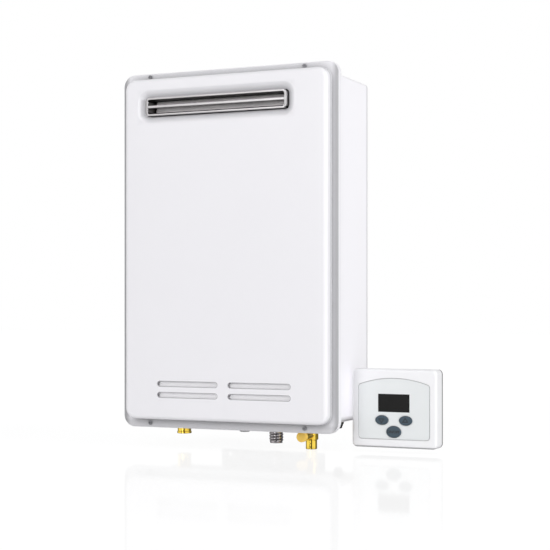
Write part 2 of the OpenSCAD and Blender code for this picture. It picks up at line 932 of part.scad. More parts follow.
// Flue

module flue_frame() {
    color("silver")
        translate([flue_x, 0, flue_z]) {
            layer(collector_front, flue_front)
                difference() {
                    round_rect(flue_w, flue_h, flue_r);
                    round_rect(flue_in_w, flue_in_h, flue_r - flue_wall);
                }
            block([-flue_in_w / 2, flue_front - flue_bar_d, -flue_bar_t / 2],
                [flue_in_w / 2, flue_front, flue_bar_t / 2]);
        }
}

module flue_vanes() {
    vane_out = collector_front + vane_r;
    vane_low = flue_r - flue_wall - flue_in_h / 2;
    color("darkgray")
        translate([flue_x, -vane_out, flue_z])
            for (z = [vane_low, flue_bar_t / 2])
                translate([-flue_in_w / 2, 0, z])
                    rotate([90, 0, 90])
                        linear_extrude(flue_in_w)
                            intersection() {
                                difference() {
                                    circle(vane_r);
                                    circle(vane_r - vane_t);
                                }
                                translate([-vane_r, 0])
                                    square(vane_r);
                            }
}

module flue_collector() {
    left = flue_x - collector_half;
    right = flue_x + collector_half;
    color("darkgray")
        difference() {
            block([left, core_back, exchanger_top], [right, collector_front, collector_top]);
            block([left + sheet, core_back + sheet, exchanger_top + sheet],
                [right - sheet, collector_front - sheet, collector_top - sheet]);
            block([core_left + sheet, core_back + sheet, exchanger_top - cut],
                [core_right - sheet, core_front - sheet, exchanger_top + 2 * sheet]);
            translate([flue_x, 0, flue_z])
                layer(collector_front - 2 * sheet, collector_front + cut)
                    round_rect(flue_in_w, flue_in_h, flue_r - flue_wall);
        }
}

// Heat exchanger

module exchanger_shell() {
    color("chocolate")
        difference() {
            duct(chamber_top, exchanger_top);
            for (i = [0:tube_count - 1])
                bar(tube_first - 2 * pipe_bend * i, tube_z, core_left - cut, core_right + cut, pipe_r + ease);
        }
}

module exchanger_fins() {
    start = core_x - fin_pitch * (fin_count - 1) / 2 - fin_t / 2;
    color("peru")
        for (i = [0:fin_count - 1])
            difference() {
                block([start + i * fin_pitch, core_back + sheet + apart, tube_z - fin_h / 2],
                    [start + i * fin_pitch + fin_t, core_front - sheet - apart, tube_z + fin_h / 2]);
                for (k = [0:tube_count - 1])
                    bar(tube_first - 2 * pipe_bend * k, tube_z, start + i * fin_pitch - cut,
                        start + i * fin_pitch + fin_t + cut, pipe_r + slip);
            }
}

module exchanger_tubes() {
    turns = [
        for (i = [1:tube_count - 1])
            let (x = i % 2 == 1 ? bend_right : bend_left, out = tube_first - 2 * pipe_bend * i)
                each [[x, out + 2 * pipe_bend, tube_z], [x, out, tube_z]]
    ];
    color("peru")
        pipe(concat([[tube_end, tube_first, tube_z]], turns, [[tube_end, tube_last, tube_z]]), pipe_r);
}

module overheat_switch() {
    inset = 50;
    disc_r = 9;
    disc_t = 6;
    tab = [4, 8, 0.8];
    x = core_right - inset;
    disc_out = core_front + disc_t;
    color("dimgray") {
        stud(x, tube_z, core_front, disc_out, disc_r);
        for (side = [-1, 1])
            block([x + (side - 0.5) * tab[0], disc_out, tube_z - tab[2] / 2],
                [x + (side + 0.5) * tab[0], disc_out + tab[1], tube_z + tab[2] / 2]);
    }
}

// Burner

module combustion_chamber() {
    color("sienna")
        difference() {
            duct(tray_top, chamber_top);
            for (i = [-1:1])
                stud(core_x + i * electrode_pitch, electrode_z, core_front - sheet - cut, core_front + cut,
                    ceramic_r + ease);
        }
}

module electrodes() {
    flange_h = 16;
    flange_out = core_front + 2;
    ceramic_in = core_front - 12;
    ceramic_out = flange_out + 18;
    rod_in = ceramic_in - 22;
    rod_out = ceramic_out + 6;
    color("ivory") {
        block([core_x - 2 * electrode_pitch, core_front, electrode_z - flange_h / 2],
            [core_x + 2 * electrode_pitch, flange_out, electrode_z + flange_h / 2]);
        for (i = [-1:1])
            translate([core_x + i * electrode_pitch, 0, electrode_z]) {
                stud(0, 0, ceramic_in, core_front, ceramic_r);
                stud(0, 0, flange_out, ceramic_out, ceramic_r);
                stud(0, 0, rod_in, ceramic_in, rod_r);
                stud(0, 0, ceramic_out, rod_out, rod_r);
            }
    }
}

module burner_tray() {
    color("lightslategray")
        difference() {
            block([core_left, core_back, tray_bottom], [core_right, core_front, tray_top]);
            block([core_left + sheet, core_back + sheet, tray_bottom + sheet],
                [core_right - sheet, core_front - sheet, tray_top + cut]);
            block([fan_x + fan_wall, fan_back + fan_wall, tray_bottom - cut],
                [fan_x + fan_in, fan_front - fan_wall, tray_bottom + 2 * sheet]);
            jet_places()
                stud(0, manifold_z, core_front - sheet - cut, core_front + cut, jet_r + ease);
        }
}

module jet_places() {
    for (i = [0:bar_count - 1])
        translate([core_left + sheet + bar_pitch * (i + 0.5), 0, 0])
            children();
}

module burner_bars() {
    slot_end = 8;
    color("gray")
        jet_places()
            difference() {
                block([-bar_t / 2, core_back + sheet, bar_top - bar_h],
                    [bar_t / 2, core_front - sheet, bar_top]);
                block([-bar_t / 2 + sheet, core_back + 2 * sheet, bar_top - bar_h + sheet],
                    [bar_t / 2 - sheet, core_front - 2 * sheet, bar_top - sheet]);
                block([-flame_slot_w / 2, core_back + slot_end, bar_top - 2 * sheet],
                    [flame_slot_w / 2, core_front - slot_end, bar_top + cut]);
                stud(0, manifold_z, core_front - 2 * jet_l, core_front, jet_r + apart);
            }
}

module support_bars() {
    inset = 10;
    half = 8;
    color("lightgray")
        for (z = [tray_bottom + tray_h / 2, chamber_top - chamber_h / 4])
            block([core_left + inset, back_in, z - half], [core_right - inset, core_back, z + half]);
}

module gas_manifold() {
    inset = 4;
    wall = 3;
    low = manifold_z - manifold_h / 2;
    high = manifold_z + manifold_h / 2;
    color("silver")
        difference() {
            block([core_left + inset, core_front, low], [core_right - inset, manifold_front, high]);
            block([core_left + inset + wall, core_front + wall, low + wall],
                [core_right - inset - wall, manifold_front - wall, high - wall]);
            post(gas_x, feed_out, low - cut, manifold_z, feed_bore);
        }
}

module gas_jets() {
    color("goldenrod")
        jet_places()
            difference() {
                stud(0, manifold_z, core_front - jet_l, core_front, jet_r);
                stud(0, manifold_z, core_front - jet_l - cut, core_front + cut, jet_bore);
            }
}

// Gas line

module gas_feed_pipe() {
    top = manifold_z - manifold_h / 2;
    color("silver")
        difference() {
            union() {
                post(gas_x, feed_out, valve_top, top, feed_r);
                post(gas_x, feed_out, valve_top, valve_top + feed_flange_t, feed_flange_r);
                post(gas_x, feed_out, top - feed_flange_t, top, feed_flange_r);
            }
            post(gas_x, feed_out, valve_top - cut, top + cut, feed_bore);
        }
}

module coil_places() {
    for (i = [-1, 1])
        translate([gas_x, 0, coil_mid + i * coil_pitch / 2])
            children();
}

module gas_valve() {
    step = 8;
    cap_h = 12;
    cap_in = 6;
    port_d = 18;
    half = valve_w / 2;
    color("lightsteelblue")
        difference() {
            union() {
                block([gas_x - half, valve_back, valve_bottom],
                    [gas_x + half, valve_front - step, valve_top - cap_h]);
                block([gas_x - half + cap_in, valve_back + step, valve_bottom],
                    [gas_x + half - cap_in, valve_front, valve_top]);
            }
            coil_places()
                stud(0, 0, valve_front - plunger_l, valve_front + cut, plunger_r + slip);
            post(gas_x, fit_out, valve_bottom - cut, valve_bottom + port_d, gas_bore);
            post(gas_x, feed_out, valve_top - cap_h, valve_top + cut, feed_bore);
        }
}

module solenoid_coils() {
    color("firebrick")
        coil_places()
            difference() {
                stud(0, 0, valve_front, coil_front, coil_r);
                stud(0, 0, valve_front - cut, coil_front - coil_cap, plunger_r + slip);
            }
}

module valve_plungers() {
    color("silver")
        coil_places()
            stud(0, 0, plunger_front - plunger_l, plunger_front, plunger_r);
}

module gas_inlet() {
    end = case_bottom - gas_drop;
    thread_top = end + gas_thread;
    color("dimgray")
        difference() {
            union() {
                post(gas_x, fit_out, end, thread_top, gas_r);
                post(gas_x, fit_out, thread_top, plate_top, gas_r - gas_relief);
                translate([gas_x, -fit_out, plate_top])
                    cylinder(h = valve_bottom - plate_top, r = shoulder_r, $fn = 6);
            }
            post(gas_x, fit_out, end - cut, valve_bottom + cut, gas_bore);
        }
}

// Fan

module fan_housing() {
    color("silver")
        difference() {
            union() {
                stud(fan_x, fan_z, fan_back, fan_front, fan_r);
                block([fan_x, fan_back, fan_z], [fan_x + fan_r, fan_front, tray_bottom]);
            }
            stud(fan_x, fan_z, fan_back + fan_wall, fan_front - fan_wall, fan_in);
            block([fan_x + fan_wall, fan_back + fan_wall, fan_z],
                [fan_x + fan_in, fan_front - fan_wall, tray_bottom + cut]);
            stud(fan_x, fan_z, fan_front - 2 * fan_wall, fan_front + cut, eye_r);
            stud(fan_x, fan_z, fan_back - cut, fan_back + 2 * fan_wall, shaft_r + fan_wall);
        }
}

module fan_motor() {
    ear = 6;
    ear_t = 3;
    ear_half = 8;
    color("darkslategray")
        difference() {
            union() {
                stud(fan_x, fan_z, back_in + motor_gap, fan_back, motor_r);
                block([fan_x - motor_r - ear, fan_back - ear_t, fan_z - ear_half],
                    [fan_x + motor_r + ear, fan_back, fan_z + ear_half]);
            }
            stud(fan_x, fan_z, shaft_back - apart, fan_back + cut, shaft_r + slip);
        }
}

module fan_rotor() {
    color("whitesmoke") {
        stud(fan_x, fan_z, shaft_back, wheel_back, shaft_r);
        stud(fan_x, fan_z, wheel_back, wheel_back + wheel_t, wheel_r);
        stud(fan_x, fan_z, wheel_back + wheel_t, wheel_mid, hub_r);
        difference() {
            stud(fan_x, fan_z, wheel_front - wheel_t, wheel_front, wheel_r);
            stud(fan_x, fan_z, wheel_front - 2 * wheel_t, wheel_front + cut, wheel_r - blade_d);
        }
        for (i = [0:blade_count - 1])
            translate([fan_x, 0, fan_z])
                rotate([0, i * 360 / blade_count, 0])
                    translate([wheel_r - blade_d / 2 - blade_t, 0, 0])
                        rotate([0, blade_lean, 0])
                            block([-blade_d / 2, wheel_back + wheel_t, -blade_t / 2],
                                [blade_d / 2, wheel_front - wheel_t, blade_t / 2]);
    }
}

// Water line

module inlet_fitting() {
    end = case_bottom - cold_drop;
    color("gold")
        difference() {
            union() {
                post(cold_x, fit_out, end, plate_top, cold_r);
                post(cold_x, fit_out, plug_z - collar_h / 2, plug_z + collar_h / 2, collar_r);
                post(cold_x, fit_out, plate_top, fitting_top, shoulder_r);
                stud(cold_x, plug_z, fit_out, branch_end, branch_r);
            }
            post(cold_x, fit_out, end - cut, fitting_top + cut, cold_bore);
            stud(cold_x, plug_z, fit_out, branch_end + cut, neck_r + slip);
        }
}

module drain_seal() {
    color("black")
        difference() {
            stud(cold_x, plug_z, branch_end, plug_back, branch_r);
            stud(cold_x, plug_z, branch_end - cut, plug_back + cut, neck_r + slip);
        }
}

module drain_plug() {
    color("gold") {
        stud(cold_x, plug_z, neck_end, plug_back, neck_r);
        stud(cold_x, plug_z, plug_back, plug_back + plug_t, plug_r);
    }
}

module flow_sensor() {
    color("gold")
        difference() {
            union() {
                difference() {
                    post(cold_x, fit_out, fitting_top, sensor_top, sensor_r);
                    post(cold_x, fit_out, fitting_top - cut, sensor_top + cut, sensor_bore);
                }
                for (z = [fitting_top, sensor_top - spider_t])
                    intersection() {
                        post(cold_x, fit_out, z, z + spider_t, (sensor_bore + sensor_r) / 2);
                        block([cold_x - sensor_r, fit_out - pin_r - spider_t, z],
                            [cold_x + sensor_r, fit_out + pin_r + spider_t, z + spider_t]);
                    }
            }
            post(cold_x, fit_out, fitting_top - cut, sensor_top + cut, pin_r + slip);
        }
}

module flow_turbine() {
    vane_count = 5;
    vane_lean = 25;
    vane_w = 1.2;
    vane_low = turbine_low + spider_t;
    vane_high = turbine_high - spider_t;
    color("steelblue") {
        post(cold_x, fit_out, fitting_top + apart, sensor_top - apart, pin_r);
        post(cold_x, fit_out, turbine_low, turbine_high, turbine_hub_r);
        for (i = [0:vane_count - 1])
            translate([cold_x, -fit_out, 0])
                rotate([0, 0, i * 360 / vane_count])
                    intersection() {
                        translate([0, 0, vane_low])
                            rotate([vane_lean, 0, 0])
                                translate([turbine_hub_r / 2, -vane_w / 2, 0])
                                    cube([turbine_r, vane_w, turbine_high - turbine_low]);
                        post(0, 0, vane_low, vane_high, turbine_r);
                    }
    }
}

module hall_sensor() {
    grip = 3;
    size = [10, 14, 12];
    left = cold_x + sensor_r - grip;
    z = (fitting_top + sensor_top) / 2;
    color("black")
        difference() {
            block([left, fit_out - size[1] / 2, z - size[2] / 2],
                [left + size[0], fit_out + size[1] / 2, z + size[2] / 2]);
            post(cold_x, fit_out, z - size[2], z + size[2], sensor_r + slip);
        }
}

module cold_pipe() {
    color("peru")
        pipe([
            [cold_x, fit_out, sensor_top], [cold_x, fit_out, wrap_z], [cold_x, wrap_out, wrap_z],
            [bend_left, wrap_out, wrap_z], [bend_left, tube_first, wrap_z],
            [bend_left, tube_first, tube_z], [tube_end, tube_first, tube_z]
        ], pipe_r);
}

module hot_pipe() {
    color("peru")
        pipe([
            [tube_end, tube_last, tube_z], [bend_left, tube_last, tube_z], [bend_left, tube_last, hot_cross],
            [bend_left, fit_out, hot_cross], [hot_x, fit_out, hot_cross],
            [hot_x, fit_out, fitting_top - shoulder_h / 2]
        ], pipe_r);
}

module hot_outlet() {
    web = 4;
    end = case_bottom - hot_drop;
    top = fitting_top - shoulder_h / 2;
    color("gold")
        difference() {
            union() {
                post(hot_x, fit_out, end, plate_top, hot_r);
                post(hot_x, fit_out, end, end + hot_rim_h, hot_rim_r);
                post(hot_x, fit_out, plate_top, top, shoulder_r);
            }
            post(hot_x, fit_out, end - cut, top - web, hot_bore);
        }
}

module hot_thermistor() {
    clip_h = 10;
    clip_wall = 2.5;
    probe_r = 4;
    probe_l = 12;
    color("black")
        difference() {
            union() {
                post(hot_x, fit_out, fitting_top, fitting_top + clip_h, pipe_r + clip_wall);
                stud(hot_x, fitting_top + clip_h / 2, fit_out, fit_out + pipe_r + probe_l, probe_r);
            }
            post(hot_x, fit_out, fitting_top - cut, fitting_top + clip_h + cut, pipe_r + slip);
        }
}

// The switch on the exchanger and the probe on the hot pipe
module heat_sensors() {
    overheat_switch();
    hot_thermistor();
}

module fitting_screw_places() {
    for (x = fitting_x, side = [-1, 1])
        translate([x + side * fitting_screw_x, 0, 0])
            children();
}

module fitting_plates() {
    color("gainsboro")
        difference() {
            for (x = fitting_x)
                block([x - plate_w / 2, fit_out - plate_w / 2, floor_in],
                    [x + plate_w / 2, fit_out + plate_w / 2, plate_top]);
            for (i = [0:2])
                post(fitting_x[i], fit_out, floor_in - cut, plate_top + cut, fitting_hole_r[i] + ease);
            fitting_screw_places()
                post(0, fit_out, floor_in - cut, plate_top + cut, fitting_screw_r + ease);
        }
}

module fitting_screws() {
    tip = 2;
    head_t = 1.6;
    color("silver")
        fitting_screw_places() {
            post(0, fit_out, case_bottom, plate_top + tip, fitting_screw_r);
            post(0, fit_out, case_bottom - head_t, case_bottom, 2 * fitting_screw_r);
        }
}

// Electrics

module igniter() {
    half = 25;
    terminal_r = 4;
    terminal_l = 8;
    terminal_out = 12;
    up = 60;
    z = tray_top + up;
    low = z - half;
    color("black") {
        block([-side_in, fit_out - half, low], [-side_in + igniter_t, fit_out + half, z + half]);
        for (i = [-1, 1])
            post(-side_in + igniter_t / 2, fit_out + i * terminal_out, low - terminal_l, low, terminal_r);
    }
}

module control_box() {
    color("darkslategray")
        difference() {
            block([box_left, box_back, box_low], [side_in, box_front, box_high]);
            block([box_left + box_wall, box_back + box_wall, box_low + box_wall],
                [side_in - box_wall, box_front + cut, box_high - box_wall]);
        }
}

module control_board() {
    lid_room = 4;
    color("darkgreen")
        block([board_x - board_t, box_back + box_wall, box_low + box_wall],
            [board_x, box_front - lid_room, box_high - box_wall]);
}

// A block on the circuit board, at a place along it and above its middle
module board_block(size, along, up) {
    face = board_x - board_t;
    out = (box_back + box_front) / 2 + along;
    block([face - size[0], out - size[1] / 2, box_z + up],
        [face, out + size[1] / 2, box_z + up + size[2]]);
}

module board_parts() {
    transformer = [22, 40, 38];
    relay = [14, 16, 28];
    relay_pitch = 22;
    capacitor_l = 20;
    capacitor_r = 8;
    socket = [9, 14, 10];
    socket_pitch = 18;
    row_up = [-70, -20, 28, 58];
    face = board_x - board_t;
    mid = (box_back + box_front) / 2;
    color("dimgray") {
        board_block(transformer, 0, row_up[0]);
        for (i = [-1:1])
            board_block(relay, relay_pitch * i, row_up[1]);
        for (i = [-1, 1])
            bar(mid + 2 * capacitor_r * i, box_z + row_up[2], face - capacitor_l, face, capacitor_r);
        for (i = [-1.5:1.5])
            board_block(socket, socket_pitch * i, row_up[3]);
    }
}

module control_lid() {
    screw_in = 20;
    screw_r = 4;
    screw_t = 2;
    lid_front = box_front + box_wall;
    color("gray") {
        block([box_left, box_front, box_low], [side_in, lid_front, box_high]);
        for (z = [box_low + screw_in, box_high - screw_in])
            stud((box_left + side_in) / 2, z, lid_front, lid_front + screw_t, screw_r);
    }
}

module terminal_block() {
    size = [22, 32, 28];
    hole_r = 3;
    hole_d = 8;
    hole_up = 6;
    hole_pitch = 10;
    up = 40;
    z = floor_in + up;
    left = side_in - size[0];
    color("black")
        difference() {
            block([left, fit_out - size[1] / 2, z - size[2] / 2],
                [side_in, fit_out + size[1] / 2, z + size[2] / 2]);
            for (i = [-1:1])
                bar(fit_out + hole_pitch * i, z + hole_up, left - cut, left + hole_d, hole_r);
        }
}

module power_gland() {
    flange_t = 2.5;
    neck = 1;
    color("black")
        difference() {
            union() {
                post(power_x, power_out, case_bottom - flange_t, case_bottom, power_r);
                translate([power_x, -power_out, case_bottom - power_l])
                    cylinder(h = power_l - flange_t, r1 = power_tip_r, r2 = power_r - neck);
                post(power_x, power_out, case_bottom, floor_in, power_tip_r);
                post(power_x, power_out, floor_in, floor_in + gland_nut_t, power_r);
            }
            post(power_x, power_out, case_bottom - power_l - cut, floor_in + gland_nut_t + cut, gland_bore);
        }
}

module cable_gland() {
    color("gainsboro")
        difference() {
            union() {
                post(cable_x, fit_out, case_bottom - cable_l, case_bottom, cable_r);
                post(cable_x, fit_out, case_bottom, floor_in, power_tip_r);
                post(cable_x, fit_out, floor_in, floor_in + gland_nut_t, cable_r);
            }
            post(cable_x, fit_out, case_bottom - cable_l - cut, floor_in + gland_nut_t + cut, gland_bore);
        }
}

// Controller

// Outline of the fascia, arched at the top, drawn about its own middle
module fascia_outline(inset) {
    intersection() {
        round_rect(fascia_w - 2 * inset, fascia_h - 2 * inset, fascia_r);
        translate([0, fascia_h / 2 - arch_r])
            circle(arch_r - inset, $fn = 256);
    }
}

module controller_base() {
    room = ctl_wall + 2 * ease;
    color("whitesmoke")
        difference() {
            translate([ctl_x, 0, ctl_mid])
                layer(ctl_back, ctl_back + base_t)
                    round_rect(ctl_w - 2 * room, ctl_h - 2 * room, ctl_r - ctl_wall);
            for (x = [-1, 1])
                stud(ctl_x + x * ctl_hole_x / 2, ctl_mid, ctl_back - cut, ctl_back + base_t + cut,
                    ctl_hole_r);
        }
}

module controller_housing() {
    boss_r = 3;
    boss_in = ctl_wall + 4;
    boss_x = ctl_w / 2 - boss_in;
    boss_z = ctl_h / 2 - boss_in;
    color("white") {
        difference() {
            translate([ctl_x, 0, ctl_mid])
                layer(ctl_back, ctl_front)
                    round_rect(ctl_w, ctl_h, ctl_r);
            translate([ctl_x, 0, ctl_mid])
                layer(ctl_back - cut, ctl_skin)
                    round_rect(ctl_w - 2 * ctl_wall, ctl_h - 2 * ctl_wall, ctl_r - ctl_wall);
            translate([ctl_x, 0, fascia_z]) {
                layer(fascia_back, ctl_front + cut)
                    fascia_outline(-ease);
                layer(ctl_skin - cut, fascia_back + cut)
                    fascia_outline(fascia_ledge);
            }
        }
        for (x = [-1, 1], z = [-1, 1])
            stud(ctl_x + x * boss_x, ctl_mid + z * boss_z, ctl_board_front, ctl_skin, boss_r);
    }
}

module controller_fascia() {
    color("lightgray")
        difference() {
            translate([ctl_x, 0, fascia_z])
                layer(fascia_back, fascia_front)
                    fascia_outline(0);
            translate([ctl_x, 0, display_z])
                layer(fascia_back - cut, fascia_front + cut)
                    square([display_w + 2 * ease, display_h + 2 * ease], center = true);
            for (x = [-1, 1])
                translate([ctl_x + x * arrow_x, 0, arrow_z])
                    layer(fascia_back - cut, fascia_front + cut)
                        polygon(oval(arrow_w + 2 * button_gap, arrow_h + 2 * button_gap));
            translate([ctl_x, 0, power_z])
                layer(fascia_back - cut, fascia_front + cut)
                    polygon(oval(power_w + 2 * button_gap, power_h + 2 * button_gap));
        }
}

module display_window() {
    color("black")
        translate([ctl_x, 0, display_z])
            layer(fascia_back, fascia_front)
                square([display_w, display_h], center = true);
}

module display_module() {
    over_w = 6;
    over_h = 2;
    color("dimgray")
        translate([ctl_x, 0, display_z])
            layer(ctl_board_front, fascia_back)
                square([display_w + over_w, display_h + over_h], center = true);
}

module controller_board() {
    room = ctl_wall + apart;
    color("darkgreen")
        translate([ctl_x, 0, ctl_mid])
            layer(ctl_board_back, ctl_board_front)
                round_rect(ctl_w - 2 * room, ctl_h - 2 * room, ctl_r - ctl_wall);
}

module tact_switches() {
    key_r = 1.7;
    color("black")
        for (p = [[-arrow_x, arrow_z], [arrow_x, arrow_z], [0, power_z]])
            translate([ctl_x + p[0], 0, p[1]]) {
                layer(ctl_board_front, ctl_board_front + switch_h)
                    square(switch_w, center = true);
                stud(0, 0, ctl_board_front + switch_h, switch_top, key_r);
            }
}

// A push button with side wings that keep it behind the fascia
module button(x, z, w, h) {
    wing = 2;
    stem_r = 2;
    color("slategray")
        translate([x, 0, z]) {
            layer(button_wing_back, button_front)
                polygon(oval(w, h));
            layer(button_wing_back, button_wing_front)
                square([w + 2 * wing, h / 2], center = true);
            stud(0, 0, button_stem_end, button_wing_back, stem_r);
        }
}

module button_down() {
    button(ctl_x - arrow_x, arrow_z, arrow_w, arrow_h);
}

module button_up() {
    button(ctl_x + arrow_x, arrow_z, arrow_w, arrow_h);
}

module button_power() {
    button(ctl_x, power_z, power_w, power_h);
}

rear_case();
case_floor();
case_flange();
front_cover();
cover_gasket();
cover_screws();
intake_baffle();
wall_brackets();
bracket_rivets();
flue_frame();
flue_vanes();
flue_collector();
exchanger_shell();
exchanger_fins();
exchanger_tubes();
heat_sensors();
combustion_chamber();
electrodes();
burner_tray();
burner_bars();
support_bars();
gas_manifold();
gas_jets();
gas_feed_pipe();
gas_valve();
solenoid_coils();
valve_plungers();
gas_inlet();
fan_housing();
fan_motor();
fan_rotor();
inlet_fitting();
drain_seal();
drain_plug();
flow_sensor();
flow_turbine();
hall_sensor();
cold_pipe();
hot_pipe();
hot_outlet();
fitting_plates();
fitting_screws();
igniter();
control_box();
control_board();
board_parts();
control_lid();
terminal_block();
power_gland();
cable_gland();
controller_base();
controller_housing();
controller_fascia();
display_window();
display_module();
controller_board();
tact_switches();
button_down();
button_up();
button_power();
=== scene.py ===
import json
import math

import bmesh
import bpy
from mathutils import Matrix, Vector

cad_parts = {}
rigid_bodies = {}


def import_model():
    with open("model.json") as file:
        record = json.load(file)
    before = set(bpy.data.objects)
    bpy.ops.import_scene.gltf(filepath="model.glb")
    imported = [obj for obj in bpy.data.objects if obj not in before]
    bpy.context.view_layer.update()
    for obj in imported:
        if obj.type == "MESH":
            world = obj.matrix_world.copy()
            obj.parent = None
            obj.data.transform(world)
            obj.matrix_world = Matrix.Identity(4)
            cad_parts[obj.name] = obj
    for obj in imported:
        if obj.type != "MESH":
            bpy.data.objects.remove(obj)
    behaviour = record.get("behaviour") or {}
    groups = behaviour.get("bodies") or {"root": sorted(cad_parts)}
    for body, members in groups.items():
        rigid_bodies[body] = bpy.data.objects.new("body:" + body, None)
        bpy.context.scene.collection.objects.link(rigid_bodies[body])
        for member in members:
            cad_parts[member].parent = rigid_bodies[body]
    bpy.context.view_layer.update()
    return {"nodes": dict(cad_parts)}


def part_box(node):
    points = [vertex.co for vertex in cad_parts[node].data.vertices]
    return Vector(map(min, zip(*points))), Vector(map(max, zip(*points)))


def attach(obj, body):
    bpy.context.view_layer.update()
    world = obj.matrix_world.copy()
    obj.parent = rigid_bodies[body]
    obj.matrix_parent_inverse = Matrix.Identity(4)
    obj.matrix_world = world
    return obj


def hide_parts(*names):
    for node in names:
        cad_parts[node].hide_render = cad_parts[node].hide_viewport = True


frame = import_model()
nodes = frame["nodes"]
mm = 0.001
tiny = 1e-5  # places closer than this count as the same
nothing = 1e-7  # moves shorter than this are left out
foldAngle = 0.5  # a turn between faces, in radians, that counts as a fold
smoothAngle = math.radians(35)
needle = 0.2 * mm  # radius at the middle of a closed turned face
origin = (0, 0, 0)
inletY = -94 * mm  # axis of the cold water inlet
print("frame loaded:", len(nodes), "nodes")


# Selecting, shaping and finishing

def take(piece):  # the only selected piece, and the active one
    if bpy.context.mode != "OBJECT":
        bpy.ops.object.mode_set(mode="OBJECT")
    bpy.ops.object.select_all(action="DESELECT")
    if piece:
        piece.select_set(True)
        bpy.context.view_layer.objects.active = piece


def edit(piece):
    take(piece)
    bpy.ops.object.mode_set(mode="EDIT")


def pick(kind, test):  # kind is verts, edges or faces of the piece in edit mode
    bpy.ops.mesh.select_mode(type=kind[:-1].upper())
    bpy.ops.mesh.select_all(action="DESELECT")
    mesh = bpy.context.edit_object.data
    shape = bmesh.from_edit_mesh(mesh)
    shape.normal_update()
    shape.verts.index_update()
    found = [part for part in getattr(shape, kind) if test(part)]
    for part in found:
        part.select_set(True)
    shape.select_flush_mode()
    bmesh.update_edit_mesh(mesh)
    return [vert.co.copy() for part in found for vert in getattr(part, "verts", [part])]


def level(part, axis, value):  # an edge or face that lies at one place along an axis
    return all(abs(vert.co[axis] - value) < tiny for vert in part.verts)


def runsAlong(edge, axis):
    a, b = (vert.co for vert in edge.verts)
    return abs(a[axis] - b[axis]) > 0.999 * (a - b).length


def inside(part, low, high, spare=0.2 * mm):  # seen from the front
    return all(
        low[0] - spare < vert.co.x < high[0] + spare and low[1] - spare < vert.co.z < high[1] + spare
        for vert in part.verts
    )


def bevelEdges(test, width, steps):
    pick("edges", test)
    bpy.ops.mesh.bevel(offset=width, segments=steps, affect="EDGES")


def applyModifier(piece, kind, **settings):
    take(piece)
    modifier = piece.modifiers.new(kind.lower(), kind)
    for key, value in settings.items():
        setattr(modifier, key, value)
    bpy.ops.object.modifier_apply(modifier=modifier.name)


def combine(piece, other, operation="DIFFERENCE"):
    applyModifier(piece, "BOOLEAN", operation=operation, object=other, solver="EXACT")
    bpy.data.objects.remove(other)


def thicken(piece, sheet):  # an open shell in edit mode grows inwards
    bpy.ops.mesh.select_all(action="SELECT")
    bpy.ops.mesh.normals_make_consistent(inside=False)
    applyModifier(piece, "SOLIDIFY", thickness=sheet, offset=-1, use_even_offset=True)


def softenEdges(piece, width, steps=2, angle=40):
    applyModifier(piece, "BEVEL", width=width, segments=steps, limit_method="ANGLE",
                  angle_limit=math.radians(angle))


def smooth(piece):
    take(piece)
    bpy.ops.object.shade_smooth_by_angle(angle=smoothAngle)
    applyModifier(piece, "WEIGHTED_NORMAL", keep_sharp=True)


def settle(piece):  # its place goes into its mesh
    take(piece)
    bpy.ops.object.transform_apply(location=True, rotation=True, scale=True)
    return piece


def paint(piece, finish):
    piece.data.materials.clear()
    piece.data.materials.append(finishes[finish])


def fit(piece, body, slot, finish, *replaced):  # smoothed and painted, it rides and stands for CAD nodes
    smooth(piece)
    paint(piece, finish)
    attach(piece, body)
    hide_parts(*replaced)
    print("piece made:", piece.name, len(piece.data.polygons), "faces")


def add(name, operator, **settings):  # what an operator adds
    take(None)
    operator(**settings)
    piece = bpy.context.object
    piece.name = name
    return piece


def addBlock(name, low, high):
    low, high = Vector(low), Vector(high)
    piece = add(name, bpy.ops.mesh.primitive_cube_add, size=1, location=(low + high) / 2)
    piece.scale = high - low
    return settle(piece)


def cornerBlock(name, low, high, corner, steps=8):  # a block with round corners seen from the front
    piece = addBlock(name, low, high)
    edit(piece)
    bevelEdges(lambda edge: runsAlong(edge, 1), corner, steps)
    return piece


def fitCorners(low, high, corner):  # the picked loop becomes a rectangle, low and high in x and z
    shape = bmesh.from_edit_mesh(bpy.context.edit_object.data)
    shape.verts.index_update()
    loop = [vert for vert in shape.verts if vert.select]
    middle = sum((vert.co for vert in loop), Vector()) / len(loop)
    groups = {}
    for vert in loop:
        groups.setdefault((vert.co.x > middle.x, vert.co.z > middle.z), set()).add(vert.index)
    for (right, top), group in groups.items():
        places = pick("verts", lambda vert: vert.index in group)
        xs = [place.x for place in places]
        zs = [place.z for place in places]
        tip = Vector((max(xs) if right else min(xs), places[0].y, max(zs) if top else min(zs)))
        goal = Vector((high[0] if right else low[0], tip.y, high[1] if top else low[1]))
        factor = corner / (max(xs) - min(xs))
        bpy.ops.transform.resize(value=(factor, 1, factor), center_override=tip)
        bpy.ops.transform.translate(value=goal - tip)
    whole = set().union(*groups.values())
    pick("verts", lambda vert: vert.index in whole)
    return whole


def extrudeRings(rings):  # the picked circle is drawn through (radius, height) pairs
    radius, height = rings[0]
    for nextRadius, nextHeight in rings[1:]:
        bpy.ops.mesh.extrude_region()
        if abs(nextHeight - height) > nothing:
            bpy.ops.transform.translate(value=(0, 0, nextHeight - height))
        if abs(nextRadius - radius) > nothing:
            factor = nextRadius / radius
            bpy.ops.transform.resize(value=(factor, factor, 1), center_override=(0, 0, nextHeight))
        radius, height = nextRadius, nextHeight


